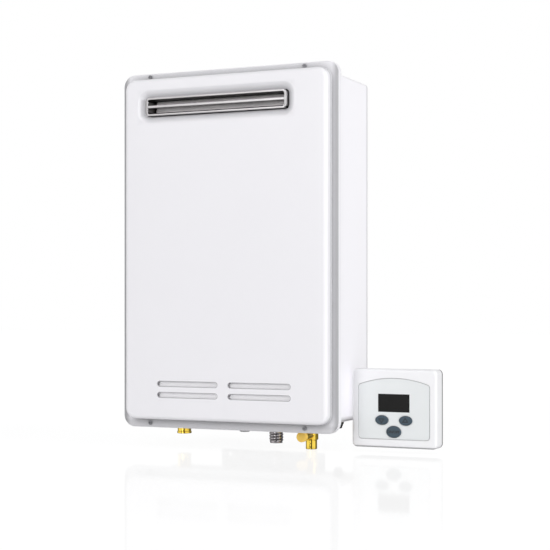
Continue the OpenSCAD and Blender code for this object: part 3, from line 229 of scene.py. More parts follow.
def turnPiece(name, rings, at, facing="up", sides=64, hollow=False):
    radius, height = rings[0]
    piece = add(name, bpy.ops.mesh.primitive_circle_add, vertices=sides, radius=radius,
                fill_type="NOTHING" if hollow else "NGON", location=(0, 0, height))
    settle(piece)
    edit(piece)
    bpy.ops.mesh.select_mode(type="EDGE" if hollow else "FACE")
    bpy.ops.mesh.select_all(action="SELECT")
    extrudeRings(rings)
    bpy.ops.mesh.select_all(action="SELECT")
    bpy.ops.mesh.remove_doubles(threshold=nothing)
    bpy.ops.mesh.normals_make_consistent(inside=False)
    take(piece)
    if facing == "front":
        piece.rotation_euler.x = math.pi / 2
    piece.location = at
    return settle(piece)


def drill(piece, radius, reach, at, facing="up", sides=48):  # a hole that reaches to both sides of its place
    combine(piece, turnPiece("holeCutter", [(radius, -reach), (radius, reach)], at, facing, sides))


def centreOf(node):
    low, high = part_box(node)
    return (low + high) / 2


# Shader groups that several finishes share

def tone(red, green, blue):  # a screen colour from 0 to 255 as the shader takes it
    shares = (red / 255, green / 255, blue / 255)
    lights = (share / 12.92 if share <= 0.04045 else ((share + 0.055) / 1.055) ** 2.4 for share in shares)
    return (*lights, 1.0)


def feed(tree, socket, value):
    if isinstance(value, bpy.types.NodeSocket):
        tree.links.new(value, socket)
    else:
        socket.default_value = value


def addNode(tree, kind, inputs=None, **settings):
    node = tree.nodes.new(kind)
    for key, value in settings.items():
        setattr(node, key, value)
    for key, value in (inputs or {}).items():
        feed(tree, node.inputs[key], value)
    return node


def mixColour(tree, factor, first, second):
    inputs = {0: factor, 6: first, 7: second}  # places of the colour sockets
    return addNode(tree, "ShaderNodeMix", inputs, data_type="RGBA").outputs[2]


def calculate(tree, operation, first, second):
    return addNode(tree, "ShaderNodeMath", {0: first, 1: second}, operation=operation).outputs[0]


def stretch(tree, value, fromLow, fromHigh, toLow=0.0, toHigh=1.0):
    inputs = {"Value": value, "From Min": fromLow, "From Max": fromHigh, "To Min": toLow, "To Max": toHigh}
    return addNode(tree, "ShaderNodeMapRange", inputs).outputs["Result"]


def objectPlace(tree):
    return addNode(tree, "ShaderNodeTexCoord").outputs["Object"]


def axes(tree, place):
    return addNode(tree, "ShaderNodeSeparateXYZ", {0: place}).outputs


def vectors(tree, operation, *values):
    return addNode(tree, "ShaderNodeVectorMath", dict(enumerate(values)), operation=operation).outputs


def noise(tree, place, scale, detail):
    inputs = {"Vector": place, "Scale": scale, "Detail": detail}
    return addNode(tree, "ShaderNodeTexNoise", inputs).outputs["Fac"]


def startGroup(name, inputs, outputs):
    tree = bpy.data.node_groups.new(name, "ShaderNodeTree")
    for label, value in inputs.items():
        kind = "NodeSocketFloat"
        if not isinstance(value, float):
            kind = "NodeSocketColor" if len(value) == 4 else "NodeSocketVector"
        tree.interface.new_socket(name=label, in_out="INPUT", socket_type=kind).default_value = value
    for label, kind in outputs.items():
        tree.interface.new_socket(name=label, in_out="OUTPUT", socket_type="NodeSocket" + kind)
    given = tree.nodes.new("NodeGroupInput").outputs
    result = tree.nodes.new("NodeGroupOutput").inputs
    return tree, given, result


plainWhite = (1.0, 1.0, 1.0, 1.0)
plainBlack = (0.0, 0.0, 0.0, 1.0)
texture = {  # a span holds what counts as none and as full
    "cloudSpan": (0.35, 0.65), "cloudDetail": 4.0, "grainSpan": (0.3, 0.7), "fineDetail": 3.0,
    "wearSpan": (0.4, 0.6), "wearScale": 220.0, "edgeSpan": (0.99, 0.8), "closedSpan": (0.95, 0.45),
    "bump": 0.2 * mm, "grimeAndShade": 0.35,  # share of its colour that a finish keeps in corners, as painted shade and grime
}


def colourGroup(name, other, reach, makeMask):  # a second colour comes in by a mask
    tree, given, result = startGroup(
        name, {"Colour": plainWhite, other: plainBlack, **reach, "Amount": 0.5}, {"Colour": "Color"})
    mask = calculate(tree, "MULTIPLY", makeMask(tree, given), given["Amount"])
    feed(tree, result["Colour"], mixColour(tree, mask, given["Colour"], given[other]))
    return tree


def cloudMask(tree, given):  # slow changes
    value = noise(tree, objectPlace(tree), given["Scale"], texture["cloudDetail"])
    return stretch(tree, value, *texture["cloudSpan"])


def wearMask(tree, given):  # rubbed edges
    rounded = addNode(tree, "ShaderNodeBevel", {"Radius": given["Width"]}, samples=4).outputs[0]
    flat = addNode(tree, "ShaderNodeNewGeometry").outputs["Normal"]
    edge = stretch(tree, vectors(tree, "DOT_PRODUCT", rounded, flat)["Value"], *texture["edgeSpan"])
    value = noise(tree, objectPlace(tree), texture["wearScale"], texture["fineDetail"])
    return calculate(tree, "MULTIPLY", edge, stretch(tree, value, *texture["wearSpan"]))


def creviceMask(tree, given):  # painted shade in corners and recesses, with grime, from ambient occlusion
    space = addNode(tree, "ShaderNodeAmbientOcclusion", {"Distance": given["Distance"]}, samples=8)
    return stretch(tree, space.outputs["AO"], *texture["closedSpan"])


def grainGroup():  # fine relief, drawn out along the axes with a small stretch
    tree, given, result = startGroup(
        "grain",
        {"Scale": 800.0, "Stretch": (1.0, 1.0, 1.0), "Low": 0.3, "High": 0.5},
        {"Height": "Float", "Roughness": "Float"},
    )
    drawn = vectors(tree, "MULTIPLY", objectPlace(tree), given["Stretch"])[0]
    height = noise(tree, drawn, given["Scale"], texture["fineDetail"])
    feed(tree, result["Height"], height)
    feed(tree, result["Roughness"], stretch(tree, height, *texture["grainSpan"], given["Low"], given["High"]))
    return tree


groups = {
    "cloud": colourGroup("cloud", "Second", {"Scale": 10.0}, cloudMask),
    "grain": grainGroup(),
    "wear": colourGroup("edgeWear", "Worn", {"Width": 0.8 * mm}, wearMask),
    "crevice": colourGroup("crevice", "Shade", {"Distance": 10 * mm}, creviceMask),
}


def useGroup(tree, name, inputs):
    return addNode(tree, "ShaderNodeGroup", inputs, node_tree=groups[name]).outputs


def makeFinish(name, colour, second, worn, rough, metallic=0.0, specular=0.5, cloud=(8.0, 0.4),
               grain=(700.0, 0.1), drawn=(1, 1, 1), wear=(0.0008, 0.3), crevice=(0.006, 0.4), shade=None,
               depths=None):
    material = bpy.data.materials.new(name)
    material.use_nodes = True
    tree = material.node_tree
    shader = tree.nodes["Principled BSDF"]
    shader.inputs["Metallic"].default_value = metallic
    shader.inputs["Specular IOR Level"].default_value = specular
    main = tone(*colour)
    dark = tone(*shade) if shade else tuple(texture["grimeAndShade"] * part for part in main[:3]) + (1.0,)
    reach, amount = crevice
    if depths:  # shade grows from the first depth to the second
        amount = stretch(tree, axes(tree, objectPlace(tree))["Y"], *depths, amount)
    base = useGroup(tree, "cloud",
                    {"Colour": main, "Second": tone(*second), "Scale": cloud[0], "Amount": cloud[1]})
    # painted shade and grime in corners, darker where ambient occlusion is high
    base = useGroup(tree, "crevice",
                    {"Colour": base["Colour"], "Shade": dark, "Distance": reach, "Amount": amount})
    base = useGroup(tree, "wear",
                    {"Colour": base["Colour"], "Worn": tone(*worn), "Width": wear[0], "Amount": wear[1]})
    relief = useGroup(tree, "grain", {"Scale": grain[0], "Stretch": drawn, "Low": rough[0], "High": rough[1]})
    bump = addNode(tree, "ShaderNodeBump",
                   {"Strength": grain[1], "Distance": texture["bump"], "Height": relief["Height"]})
    feed(tree, shader.inputs["Base Color"], base["Colour"])
    feed(tree, shader.inputs["Roughness"], relief["Roughness"])
    feed(tree, shader.inputs["Normal"], bump.outputs["Normal"])
    return material


enamel = {"cloud": (4.0, 0.4), "grain": (450.0, 0.05)}
finishRows = {  # colour, colour of clouds, worn edges, roughness from and to, and what differs from the usual
    # painted shade in corners: weak on the face and the dish, full on the flat rim behind them
    "coverEnamel": ((241, 240, 244), (239, 238, 242), (250, 250, 252), (0.34, 0.42), dict(
        enamel, wear=(0.0015, 0.3), crevice=(0.026, 1.0), shade=(150, 150, 153),
        depths=(-0.17, -0.166, 0.12))),  # from and to along Y, and the first amount
    # painted a little lighter than the cover's enamel: painted light for the brighter side of the case
    "caseEnamel": ((248, 247, 251), (246, 245, 249), (253, 253, 254), (0.34, 0.42), dict(
        enamel, wear=(0.0015, 0.3), crevice=(0.008, 0.5), shade=(190, 190, 193), specular=0.1)),
    # painted light: a lighter copy of the case's enamel, with little corner shade, for the baffle seen through
    # the slots
    "baffleEnamel": ((252, 251, 254), (250, 249, 252), (253, 253, 254), (0.34, 0.42), dict(
        enamel, wear=(0.0015, 0.2), crevice=(0.003, 0.2))),
    "zincSheet": ((196, 198, 200), (170, 173, 177), (226, 227, 229), (0.34, 0.5), dict(
        metallic=1.0, cloud=(60.0, 0.7), grain=(260.0, 0.06))),
    "stainless": ((182, 180, 181), (166, 164, 165), (204, 203, 203), (0.28, 0.4), dict(
        metallic=1.0, cloud=(20.0, 0.4), grain=(420.0, 0.08), drawn=(0.06, 1, 1), crevice=(0.01, 0.3))),
    "bluedSteel": ((176, 172, 174), (158, 154, 156), (196, 194, 194), (0.12, 0.2), dict(
        metallic=1.0, cloud=(90.0, 0.6), wear=(0.0004, 0.4), crevice=(0.002, 0.6))),
    "yellowBrass": ((252, 219, 94), (243, 202, 76), (255, 234, 152), (0.06, 0.14), dict(
        metallic=1.0, cloud=(50.0, 0.5), grain=(500.0, 0.06), drawn=(1, 1, 4))),
    "plugBrass": ((253, 212, 98), (250, 205, 88), (254, 228, 150), (0.42, 0.55), dict(
        cloud=(60.0, 0.5), grain=(900.0, 0.1))),
    "copperPipe": ((212, 146, 112), (176, 108, 78), (238, 190, 164), (0.22, 0.38), dict(
        metallic=1.0, cloud=(26.0, 0.7), grain=(300.0, 0.06))),
    "foamRubber": ((48, 48, 50), (36, 36, 38), (70, 70, 72), (0.8, 0.95), dict(
        grain=(1500.0, 0.7), wear=(0.0008, 0.2))),
    "blackPlastic": ((34, 34, 36), (26, 26, 28), (72, 72, 76), (0.38, 0.52), dict(
        grain=(1400.0, 0.25), wear=(0.0006, 0.35))),
    "whitePlastic": ((245, 245, 247), (241, 241, 244), (251, 251, 252), (0.36, 0.46), dict(
        cloud=(12.0, 0.4), grain=(1100.0, 0.05), crevice=(0.004, 0.5), shade=(170, 170, 174))),
    "paleFilm": ((231, 234, 235), (228, 231, 232), (242, 243, 244), (0.4, 0.5), dict(
        cloud=(14.0, 0.4), grain=(1800.0, 0.08), crevice=(0.003, 0.9), shade=(110, 110, 114))),
    "smokedWindow": ((34, 34, 34), (31, 31, 31), (58, 58, 58), (0.2, 0.28), dict(
        cloud=(40.0, 0.4), grain=(900.0, 0.02), wear=(0.0004, 0.2), specular=0.08)),
    "slateRubber": ((52, 71, 84), (46, 65, 78), (80, 100, 114), (0.5, 0.62), dict(
        cloud=(90.0, 0.4), grain=(2200.0, 0.15), wear=(0.0006, 0.3), crevice=(0.003, 0.5))),
    "darkPrint": ((24, 33, 42), (21, 29, 37), (40, 50, 60), (0.45, 0.55), dict(
        cloud=(200.0, 0.4), grain=(2500.0, 0.1))),
    "boardLacquer": ((58, 120, 74), (40, 96, 58), (120, 164, 120), (0.25, 0.4), dict(
        cloud=(130.0, 0.9), grain=(600.0, 0.15), drawn=(1, 0.1, 1))),
    "castAlloy": ((190, 192, 194), (168, 170, 173), (222, 223, 225), (0.42, 0.58), dict(
        metallic=1.0, cloud=(40.0, 0.5), grain=(900.0, 0.2))),
    "brightSteel": ((190, 191, 193), (165, 166, 169), (226, 226, 228), (0.22, 0.36), dict(
        metallic=1.0, cloud=(90.0, 0.5), grain=(800.0, 0.08))),
    "darkSteel": ((128, 128, 132), (112, 112, 116), (158, 158, 162), (0.35, 0.5), dict(
        metallic=0.7, cloud=(120.0, 0.5), grain=(900.0, 0.1), crevice=(0.003, 0.7))),
    # painted much lighter than the frame's stainless: painted light on the vanes, which sit in shade inside
    # the outlet
    "brushedVane": ((246, 241, 243), (236, 231, 233), (250, 248, 248), (0.34, 0.5), dict(
        metallic=0.25, cloud=(30.0, 0.5), grain=(420.0, 0.15), drawn=(0.05, 1, 1), crevice=(0.004, 0.1))),
    # painted shade: near black on the inner faces of the outlet
    "sootedSteel": ((30, 29, 29), (18, 17, 17), (60, 58, 57), (0.5, 0.7), dict(
        metallic=0.3, cloud=(60.0, 0.7), grain=(700.0, 0.25))),
    "glandRubber": ((22, 22, 23), (16, 16, 17), (48, 48, 50), (0.55, 0.7), dict(
        grain=(1400.0, 0.25), wear=(0.0006, 0.25), specular=0.2)),
    "glazedCeramic": ((240, 236, 224), (230, 225, 210), (250, 248, 240), (0.15, 0.25), dict(
        cloud=(70.0, 0.4), grain=(700.0, 0.04))),
    "whiteNylon": ((232, 231, 226), (222, 221, 214), (244, 244, 240), (0.4, 0.52), dict(
        cloud=(40.0, 0.4), grain=(1100.0, 0.1))),
    "greyPlastic": ((206, 207, 209), (196, 197, 200), (228, 228, 230), (0.36, 0.48), dict(
        cloud=(24.0, 0.4), grain=(1200.0, 0.12))),
    "motorPaint": ((66, 69, 73), (54, 57, 61), (124, 126, 130), (0.4, 0.55), dict(
        cloud=(30.0, 0.5), grain=(800.0, 0.2))),
    "coilTape": ((150, 62, 52), (124, 46, 40), (196, 110, 96), (0.42, 0.55), dict(
        cloud=(60.0, 0.5), grain=(900.0, 0.3), drawn=(1, 0.1, 1))),
}
finishes = {name: makeFinish(name, *row[:-1], **row[-1]) for name, row in finishRows.items()}
print("finishes made:", len(finishes))


# Finishes of the CAD nodes that stay as they are

nodeFinishes = {
    # the baffle behind the slots gets the lighter copy of the enamel, as painted light
    "baffleEnamel": ["intake_baffle"],
    "zincSheet": ["wall_brackets", "flue_collector", "burner_tray", "fan_housing", "fitting_plates"],
    "stainless": ["burner_bars"],
    "darkSteel": ["cover_screws"],
    "yellowBrass": ["gas_jets", "flow_sensor"],
    "copperPipe": ["exchanger_shell", "exchanger_fins", "exchanger_tubes", "combustion_chamber", "cold_pipe",
                   "hot_pipe"],
    "foamRubber": ["cover_gasket", "drain_seal"],
    "blackPlastic": ["heat_sensors", "hall_sensor", "igniter", "board_parts", "terminal_block",
                     "tact_switches"],
    "boardLacquer": ["control_board", "controller_board"],
    "castAlloy": ["support_bars", "gas_manifold", "gas_feed_pipe", "gas_valve"],
    "brightSteel": ["bracket_rivets", "valve_plungers", "fitting_screws"],
    "glazedCeramic": ["electrodes"],
    "whiteNylon": ["fan_rotor", "flow_turbine", "controller_base"],
    "greyPlastic": ["control_box", "control_lid", "display_module"],
    "motorPaint": ["fan_motor"],
    "coilTape": ["solenoid_coils"],
}
for finish, names in nodeFinishes.items():
    for name in names:
        paint(nodes[name], finish)
print("CAD nodes finished:", sum(len(names) for names in nodeFinishes.values()))


# Front cover: pressed sheet with a raised face, a dish round the outlet and four slots

cover = {
    "sheet": 1.2 * mm, "cutEdge": 0.35 * mm, "cutReach": 3.6 * mm,
    "faceSide": 11.5 * mm, "faceTop": 10.3 * mm, "faceBottom": 13.3 * mm,  # flat rim round the face
    "faceRise": 18 * mm, "faceCorner": 16 * mm, "cornerSteps": 10, "faceEdge": 6 * mm, "edgeSteps": 6,
    "rimCorner": 18 * mm, "lip": 10 * mm, "lipEdge": 1.6 * mm, "foot": 1.6 * mm, "foldSteps": 4,
    "inset": 2 * mm, "dishMargin": 12 * mm, "dishFloor": 0.4 * mm, "dishDepth": 8 * mm, "dishSteps": 10,
    "dishCurve": 1.25,  # steeper towards the outlet
    "outletGap": 1.1 * mm, "outletCorner": 6 * mm, "slotLength": 100 * mm, "slotHeight": 7.2 * mm,
    "slotX": 59.25 * mm, "slotRows": (-219.0 * mm, -202.2 * mm),
    "screws": (-131.5 * mm, 124.5 * mm), "screwHole": 1.85 * mm,
}


def screwPlaces():  # middles of the cover screws, seen from the front
    low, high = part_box("front_cover")
    rows = (high.z - cover["faceTop"] / 2, low.z + cover["faceBottom"] / 2)
    return [(x, z) for x in cover["screws"] for z in rows]


def makeCover():
    low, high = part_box("front_cover")
    outletLow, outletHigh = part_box("flue_frame")
    front = low.y
    rim = front + cover["faceRise"]
    faceLow = (low.x + cover["faceSide"], low.z + cover["faceBottom"])
    faceHigh = (high.x - cover["faceSide"], high.z - cover["faceTop"])
    piece = cornerBlock("frontCover", (faceLow[0], front, faceLow[1]), (faceHigh[0], rim, faceHigh[1]),
                        cover["faceCorner"], cover["cornerSteps"])
    pick("faces", lambda face: level(face, 1, rim))
    bpy.ops.mesh.delete(type="ONLY_FACE")
    bevelEdges(lambda edge: level(edge, 1, front), cover["faceEdge"], cover["edgeSteps"])
    pick("faces", lambda face: level(face, 1, front))
    bpy.ops.mesh.inset(thickness=cover["inset"])  # the flat face, drawn in to the dish
    margin = cover["dishMargin"]
    dishLow = (outletLow.x - margin, outletLow.z - margin)
    dishHigh = (outletHigh.x + margin, outletHigh.z + margin)
    dish = fitCorners(dishLow, dishHigh, cover["outletCorner"] + margin)
    pick("faces", lambda face: all(vert.index in dish for vert in face.verts))
    steps = cover["dishSteps"]
    slope = (margin - cover["outletGap"] - cover["dishFloor"]) / steps
    fall = [cover["dishDepth"] * (step / steps) ** cover["dishCurve"] for step in range(steps + 1)]
    for step in range(steps):
        bpy.ops.mesh.inset(thickness=slope, depth=fall[step] - fall[step + 1])
    bpy.ops.mesh.inset(thickness=cover["dishFloor"])
    bpy.ops.mesh.delete(type="FACE")
    pick("edges", lambda edge: edge.is_boundary and level(edge, 1, rim))
    bpy.ops.mesh.extrude_region()  # the flat rim
    fitCorners((low.x, low.z), (high.x, high.z), cover["rimCorner"])
    pick("edges", lambda edge: edge.is_boundary and level(edge, 1, rim))
    bpy.ops.mesh.extrude_region_move(TRANSFORM_OT_translate={"value": (0, cover["lip"], 0)})

    def fold(edge):
        return level(edge, 1, rim) and not edge.is_boundary and edge.calc_face_angle() > foldAngle

    folds = cover["foldSteps"]
    bevelEdges(lambda edge: fold(edge) and inside(edge, faceLow, faceHigh), cover["foot"], folds)
    bevelEdges(lambda edge: fold(edge) and not inside(edge, faceLow, faceHigh), cover["lipEdge"], folds)
    thicken(piece, cover["sheet"])
    half = Vector((cover["slotLength"] / 2, cover["cutReach"], cover["slotHeight"] / 2))
    end = half.z - tiny  # a slot's ends are nearly half round
    for x in (-cover["slotX"], cover["slotX"]):
        for z in cover["slotRows"]:
            slot = Vector((x, front, z))
            combine(piece, cornerBlock("slotCutter", slot - half, slot + half, end, cover["cornerSteps"]))
    for x, z in screwPlaces():
        drill(piece, cover["screwHole"], cover["cutReach"], (x, rim, z), "front", sides=24)
    softenEdges(piece, cover["cutEdge"])
    fit(piece, "cover", "white_enamel", "coverEnamel", "front_cover")


makeCover()


# Rear case: one deep pressing with a flange round its open front

case = {
    "sheet": 1.2 * mm, "cutEdge": 0.35 * mm, "cutReach": 4.8 * mm, "edge": 5 * mm, "edgeSteps": 6,
    "flangeCorner": 16.8 * mm, "screwHole": 1.95 * mm,
    "holes": (("hot_outlet", 11.0 * mm), ("gas_inlet", 11.15 * mm), ("inlet_fitting", 9.0 * mm),
              ("power_gland", 5.1 * mm), ("cable_gland", 5.1 * mm)),
}


def makeCase():
    low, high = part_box("rear_case")
    flangeLow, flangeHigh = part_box("case_flange")
    piece = addBlock("rearCase", (low.x, flangeHigh.y, low.z), high)
    edit(piece)
    pick("faces", lambda face: level(face, 1, flangeHigh.y))
    bpy.ops.mesh.delete(type="ONLY_FACE")
    bevelEdges(lambda edge: not edge.is_boundary, case["edge"], case["edgeSteps"])
    pick("edges", lambda edge: edge.is_boundary)
    bpy.ops.mesh.extrude_region()
    fitCorners((flangeLow.x, flangeLow.z), (flangeHigh.x, flangeHigh.z), case["flangeCorner"])
    thicken(piece, case["sheet"])
    for name, radius in case["holes"]:
        middle = centreOf(name)
        y = inletY if name == "inlet_fitting" else middle.y
        drill(piece, radius, case["cutReach"], (middle.x, y, low.z))
    for x, z in screwPlaces():  # the cover's screws pass through the flange
        drill(piece, case["screwHole"], case["cutReach"], (x, flangeHigh.y, z), "front", sides=24)
    softenEdges(piece, case["cutEdge"])
    # the case gets the lighter copy of the white enamel, as painted light on its side
    fit(piece, "heater", "white_enamel", "caseEnamel", "rear_case", "case_floor", "case_flange")


makeCase()


# Flue outlet: a bright frame with a bar across, and the vanes behind it

outlet = {
    "wall": 3 * mm, "post": 4.5 * mm, "corner": 6 * mm, "bar": 4 * mm, "barDepth": 10 * mm, "edge": 0.8 * mm,
    "edgeSteps": 3, "liningDepth": 2 * mm, "liningSide": 1 * mm, "vaneEnd": 3.5 * mm, "vaneBack": 1 * mm,
    "vaneThick": 1 * mm, "vaneReach": 7.5 * mm, "vaneSteps": 10, "vaneEdge": 0.2 * mm,
    "lowVane": (7.2 * mm, 9.8 * mm), "highVane": (15.9 * mm, 9.6 * mm),  # foot above the frame's foot, height
}


def makeOutlet():
    low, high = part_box("flue_frame")
    piece = cornerBlock("flueFrame", low, high, outlet["corner"])
    spare = Vector((outlet["post"], -mm, outlet["wall"]))
    combine(piece, cornerBlock("openingCutter", low + spare, high - spare, outlet["corner"] - outlet["wall"]))
    middle = (low.z + high.z) / 2
    barLow = (low.x + outlet["post"] / 2, low.y, middle - outlet["bar"] / 2)
    barHigh = (high.x - outlet["post"] / 2, low.y + outlet["barDepth"], middle + outlet["bar"] / 2)
    combine(piece, addBlock("outletBar", barLow, barHigh), "UNION")
    softenEdges(piece, outlet["edge"], outlet["edgeSteps"])
    fit(piece, "heater", "stainless", "stainless", "flue_frame")
    piece.data.materials.append(finishes["sootedSteel"])
    edit(piece)
    side = outlet["liningSide"]

    def lining(face):  # inner faces behind the front edge, painted near black as shade inside the opening
        place = face.calc_center_median()
        return (place.y > low.y + outlet["liningDepth"] and low.x + side < place.x < high.x - side
                and low.z + side < place.z < high.z - side and abs(place.z - middle) > outlet["bar"])

    pick("faces", lining)
    piece.active_material_index = 1
    bpy.ops.object.material_slot_assign()
    take(piece)


def makeVanes():  # curved strips that lead the exhaust out
    low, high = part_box("flue_frame")
    start = low.x + outlet["post"] + outlet["vaneEnd"]
    end = high.x - outlet["post"]
    back = high.y - outlet["vaneBack"]
    strips = []
    for foot, height in (outlet["lowVane"], outlet["highVane"]):
        bottom = low.z + foot
        front = back - outlet["vaneThick"]
        strip = addBlock("flueVanes", (start, front, bottom), (end, back, bottom + height))
        edit(strip)
        pick("edges", lambda edge: runsAlong(edge, 2))
        bpy.ops.mesh.subdivide(number_cuts=outlet["vaneSteps"] - 1)
        for step in range(outlet["vaneSteps"]):
            share = step / outlet["vaneSteps"]
            pick("verts", lambda vert: abs(vert.co.z - bottom - height * share) < tiny)
            bpy.ops.transform.translate(value=(0, -outlet["vaneReach"] * math.sqrt(1 - share ** 2), 0))
        strips.append(strip)
    take(strips[0])
    strips[1].select_set(True)
    bpy.ops.object.join()
    softenEdges(strips[0], outlet["vaneEdge"], angle=60)
    # painted light: the vanes get a lighter copy of the frame's steel
    fit(strips[0], "heater", "stainless", "brushedVane", "flue_vanes")


makeOutlet()
makeVanes()


# Fittings under the case, turned about upright axes

hot = {"radius": 10.5 * mm, "rim": 11.3 * mm, "rimHeight": 3 * mm, "bore": 7.5 * mm, "shoulder": 13 * mm,
       "web": 4 * mm, "chamfer": 0.6 * mm, "inCase": 24 * mm}


def makeHotOutlet():
    low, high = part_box("hot_outlet")
    middle = (low + high) / 2
    end, top = low.z, high.z
    seat = top - hot["inCase"]
    edge = hot["chamfer"]
    rings = [
        (needle, top), (hot["shoulder"] - edge, top), (hot["shoulder"], top - edge), (hot["shoulder"], seat),
        (hot["radius"], seat), (hot["radius"], end + hot["rimHeight"] + edge),
        (hot["rim"], end + hot["rimHeight"]), (hot["rim"], end + edge), (hot["rim"] - edge, end),
        (hot["bore"] + edge, end), (hot["bore"], end + edge), (hot["bore"], top - hot["web"]),
        (needle, top - hot["web"]),
    ]
    piece = turnPiece("hotOutlet", rings, (middle.x, middle.y, 0))
    fit(piece, "heater", "yellow_brass", "yellowBrass", "hot_outlet")


makeHotOutlet()

gas = {"radius": 10.65 * mm, "relief": 0.4 * mm, "bore": 8 * mm, "thread": 31 * mm, "pitch": 4.2 * mm,
       "depth": 1.6 * mm, "crest": 0.45, "turnRings": 10, "sides": 72, "hexagon": 13 * mm,
       "hexHeight": 18 * mm, "chamfer": 1.0 * mm}


def makeGasInlet():
    low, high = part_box("gas_inlet")
    middle = (low + high) / 2
    end, top = low.z, high.z
    count = round(gas["thread"] / gas["pitch"] * gas["turnRings"])
    seat = top - gas["hexHeight"]
    neck = gas["radius"] - gas["relief"]
    rings = [(gas["bore"], end), (gas["radius"] - gas["chamfer"], end)]
    rings += [(gas["radius"], end + gas["thread"] * (step + 0.5) / count) for step in range(count)]
    rings += [(neck, end + gas["thread"]), (neck, seat), (gas["bore"], seat), (gas["bore"], end)]
    piece = turnPiece("gasInlet", rings, origin, sides=gas["sides"], hollow=True)
    edit(piece)

    def cut(vert):  # ridges wind up the thread
        radius = math.hypot(vert.co.x, vert.co.y)
        if abs(radius - gas["radius"]) > tiny:
            return False
        turns = (vert.co.z - end) / gas["pitch"] - math.atan2(vert.co.y, vert.co.x) / (2 * math.pi)
        ridge = min(1, abs(2 * (turns % 1) - 1) / (1 - gas["crest"]))
        runOut = min(1, (vert.co.z - end) / gas["pitch"])
        factor = (gas["radius"] - gas["depth"] * (1 - ridge * runOut)) / radius
        vert.co.x *= factor
        vert.co.y *= factor
        return True

    pick("verts", cut)
    take(piece)
    nut = turnPiece("gasHexagon", [(gas["hexagon"], seat), (gas["hexagon"], top)], origin, sides=6)
    combine(nut, turnPiece("boreCutter", [(gas["bore"], seat - mm), (gas["bore"], top + mm)], origin))
    combine(piece, nut, "UNION")
    piece.location = (middle.x, middle.y, 0)
    settle(piece)
    fit(piece, "heater", "blued_steel", "bluedSteel", "gas_inlet")


makeGasInlet()

cold = {"radius": 8.5 * mm, "bore": 6.5 * mm, "collar": 10.4 * mm, "collarHeight": 14 * mm,
        "branch": 6.8 * mm, "branchBore": 4.65 * mm, "shoulder": 13 * mm, "inCase": 48 * mm,
        "chamfer": 0.6 * mm, "cutEdge": 0.3 * mm, "plug": 7.7 * mm, "plugThick": 8 * mm, "neck": 4.6 * mm,
        "plugEdge": 0.9 * mm, "dent": (0.1 * mm, 0.15 * mm)}  # dent in the plug's face, half-way in and inmost


def makeColdInlet():
    low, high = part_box("inlet_fitting")
    plugLow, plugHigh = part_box("drain_plug")
    axis = Vector(((low.x + high.x) / 2, inletY, 0))
    branch = (plugLow.z + plugHigh.z) / 2
    end, top = low.z, high.z
    seat = top - cold["inCase"]
    edge = cold["chamfer"]
    collarLow = branch - cold["collarHeight"] / 2
    collarHigh = branch + cold["collarHeight"] / 2
    rings = [
        (cold["bore"], end), (cold["radius"] - edge, end), (cold["radius"], end + edge),
        (cold["radius"], collarLow - edge), (cold["collar"], collarLow + edge),
        (cold["collar"], collarHigh - edge), (cold["radius"], collarHigh + edge), (cold["radius"], seat),
        (cold["shoulder"], seat), (cold["shoulder"], top), (cold["bore"], top), (cold["bore"], end),
    ]
    piece = turnPiece("inletFitting", rings, axis, hollow=True)
    reach = inletY - low.y
    start = (cold["bore"] + cold["radius"]) / 2
    side = [(cold["branchBore"], start), (cold["branch"], start), (cold["branch"], reach - edge),
            (cold["branch"] - edge, reach), (cold["branchBore"], reach), (cold["branchBore"], start)]
    combine(piece, turnPiece("drainBranch", side, axis + Vector((0, 0, branch)), "front", 48, True), "UNION")
    softenEdges(piece, cold["cutEdge"])
    fit(piece, "heater", "yellow_brass", "yellowBrass", "inlet_fitting")
    edge = cold["plugEdge"]
    length = plugHigh.y - plugLow.y
    head = length - cold["plugThick"]
    rings = [
        (needle, 0), (cold["neck"] - edge, 0), (cold["neck"], edge), (cold["neck"], head),
        (cold["plug"] - edge / 2, head), (cold["plug"], head + edge / 2), (cold["plug"], length - edge),
        (cold["plug"] - 0.3 * edge, length - 0.3 * edge), (cold["plug"] - edge, length),
        (cold["plug"] / 2, length - cold["dent"][0]), (needle, length - cold["dent"][1]),
    ]
    plug = turnPiece("drainPlug", rings, (axis.x, plugHigh.y, branch), "front")
    fit(plug, "drain_plug", "yellow_brass", "plugBrass", "drain_plug")


makeColdInlet()

gland = {"bore": 3 * mm, "nut": 6 * mm, "sheet": 1.2 * mm, "neck": 5 * mm, "edge": 0.8 * mm,
         "power": 10.6 * mm, "powerTip": 5 * mm, "flange": 2.5 * mm, "flangeStep": 1 * mm, "ribs": 4,
         "ribRise": 0.6, "ribDepth": 0.5 * mm, "ribbed": "power_gland", "cable": 8.4 * mm}


def makeGland(name, node, wide, slot, finish):
    low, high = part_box(node)
    middle = (low + high) / 2
    edge, bore, neck, sheet = gland["edge"], gland["bore"], gland["neck"], gland["sheet"]
    seat = high.z - gland["nut"] - sheet  # underside of the case
    if gland["ribbed"] == node:
        flange = seat - gland["flange"]
        tip = gland["powerTip"]
        ribHeight = (flange - low.z) / gland["ribs"]
        rings = [(bore, low.z), (tip, low.z)]
        for rib in range(gland["ribs"]):  # ringed taper
            foot = low.z + ribHeight * rib
            radius = tip + (wide - gland["flangeStep"] - tip) * (rib + 1) / gland["ribs"]
            rings += [(radius, foot + gland["ribRise"] * ribHeight),
                      (radius - gland["ribDepth"], foot + ribHeight)]
        rings += [(wide - edge, flange), (wide, flange + edge), (wide, seat)]
    else:
        rings = [(bore, low.z), (wide - 2 * edge, low.z), (wide, low.z + 2 * edge), (wide, seat - edge),
                 (wide - edge, seat)]
    rings += [(neck, seat), (neck, seat + sheet), (wide, seat + sheet), (wide, high.z - edge),
              (wide - edge, high.z), (bore, high.z), (bore, low.z)]
    piece = turnPiece(name, rings, (middle.x, middle.y, 0), sides=48, hollow=True)
    fit(piece, "heater", slot, finish, node)


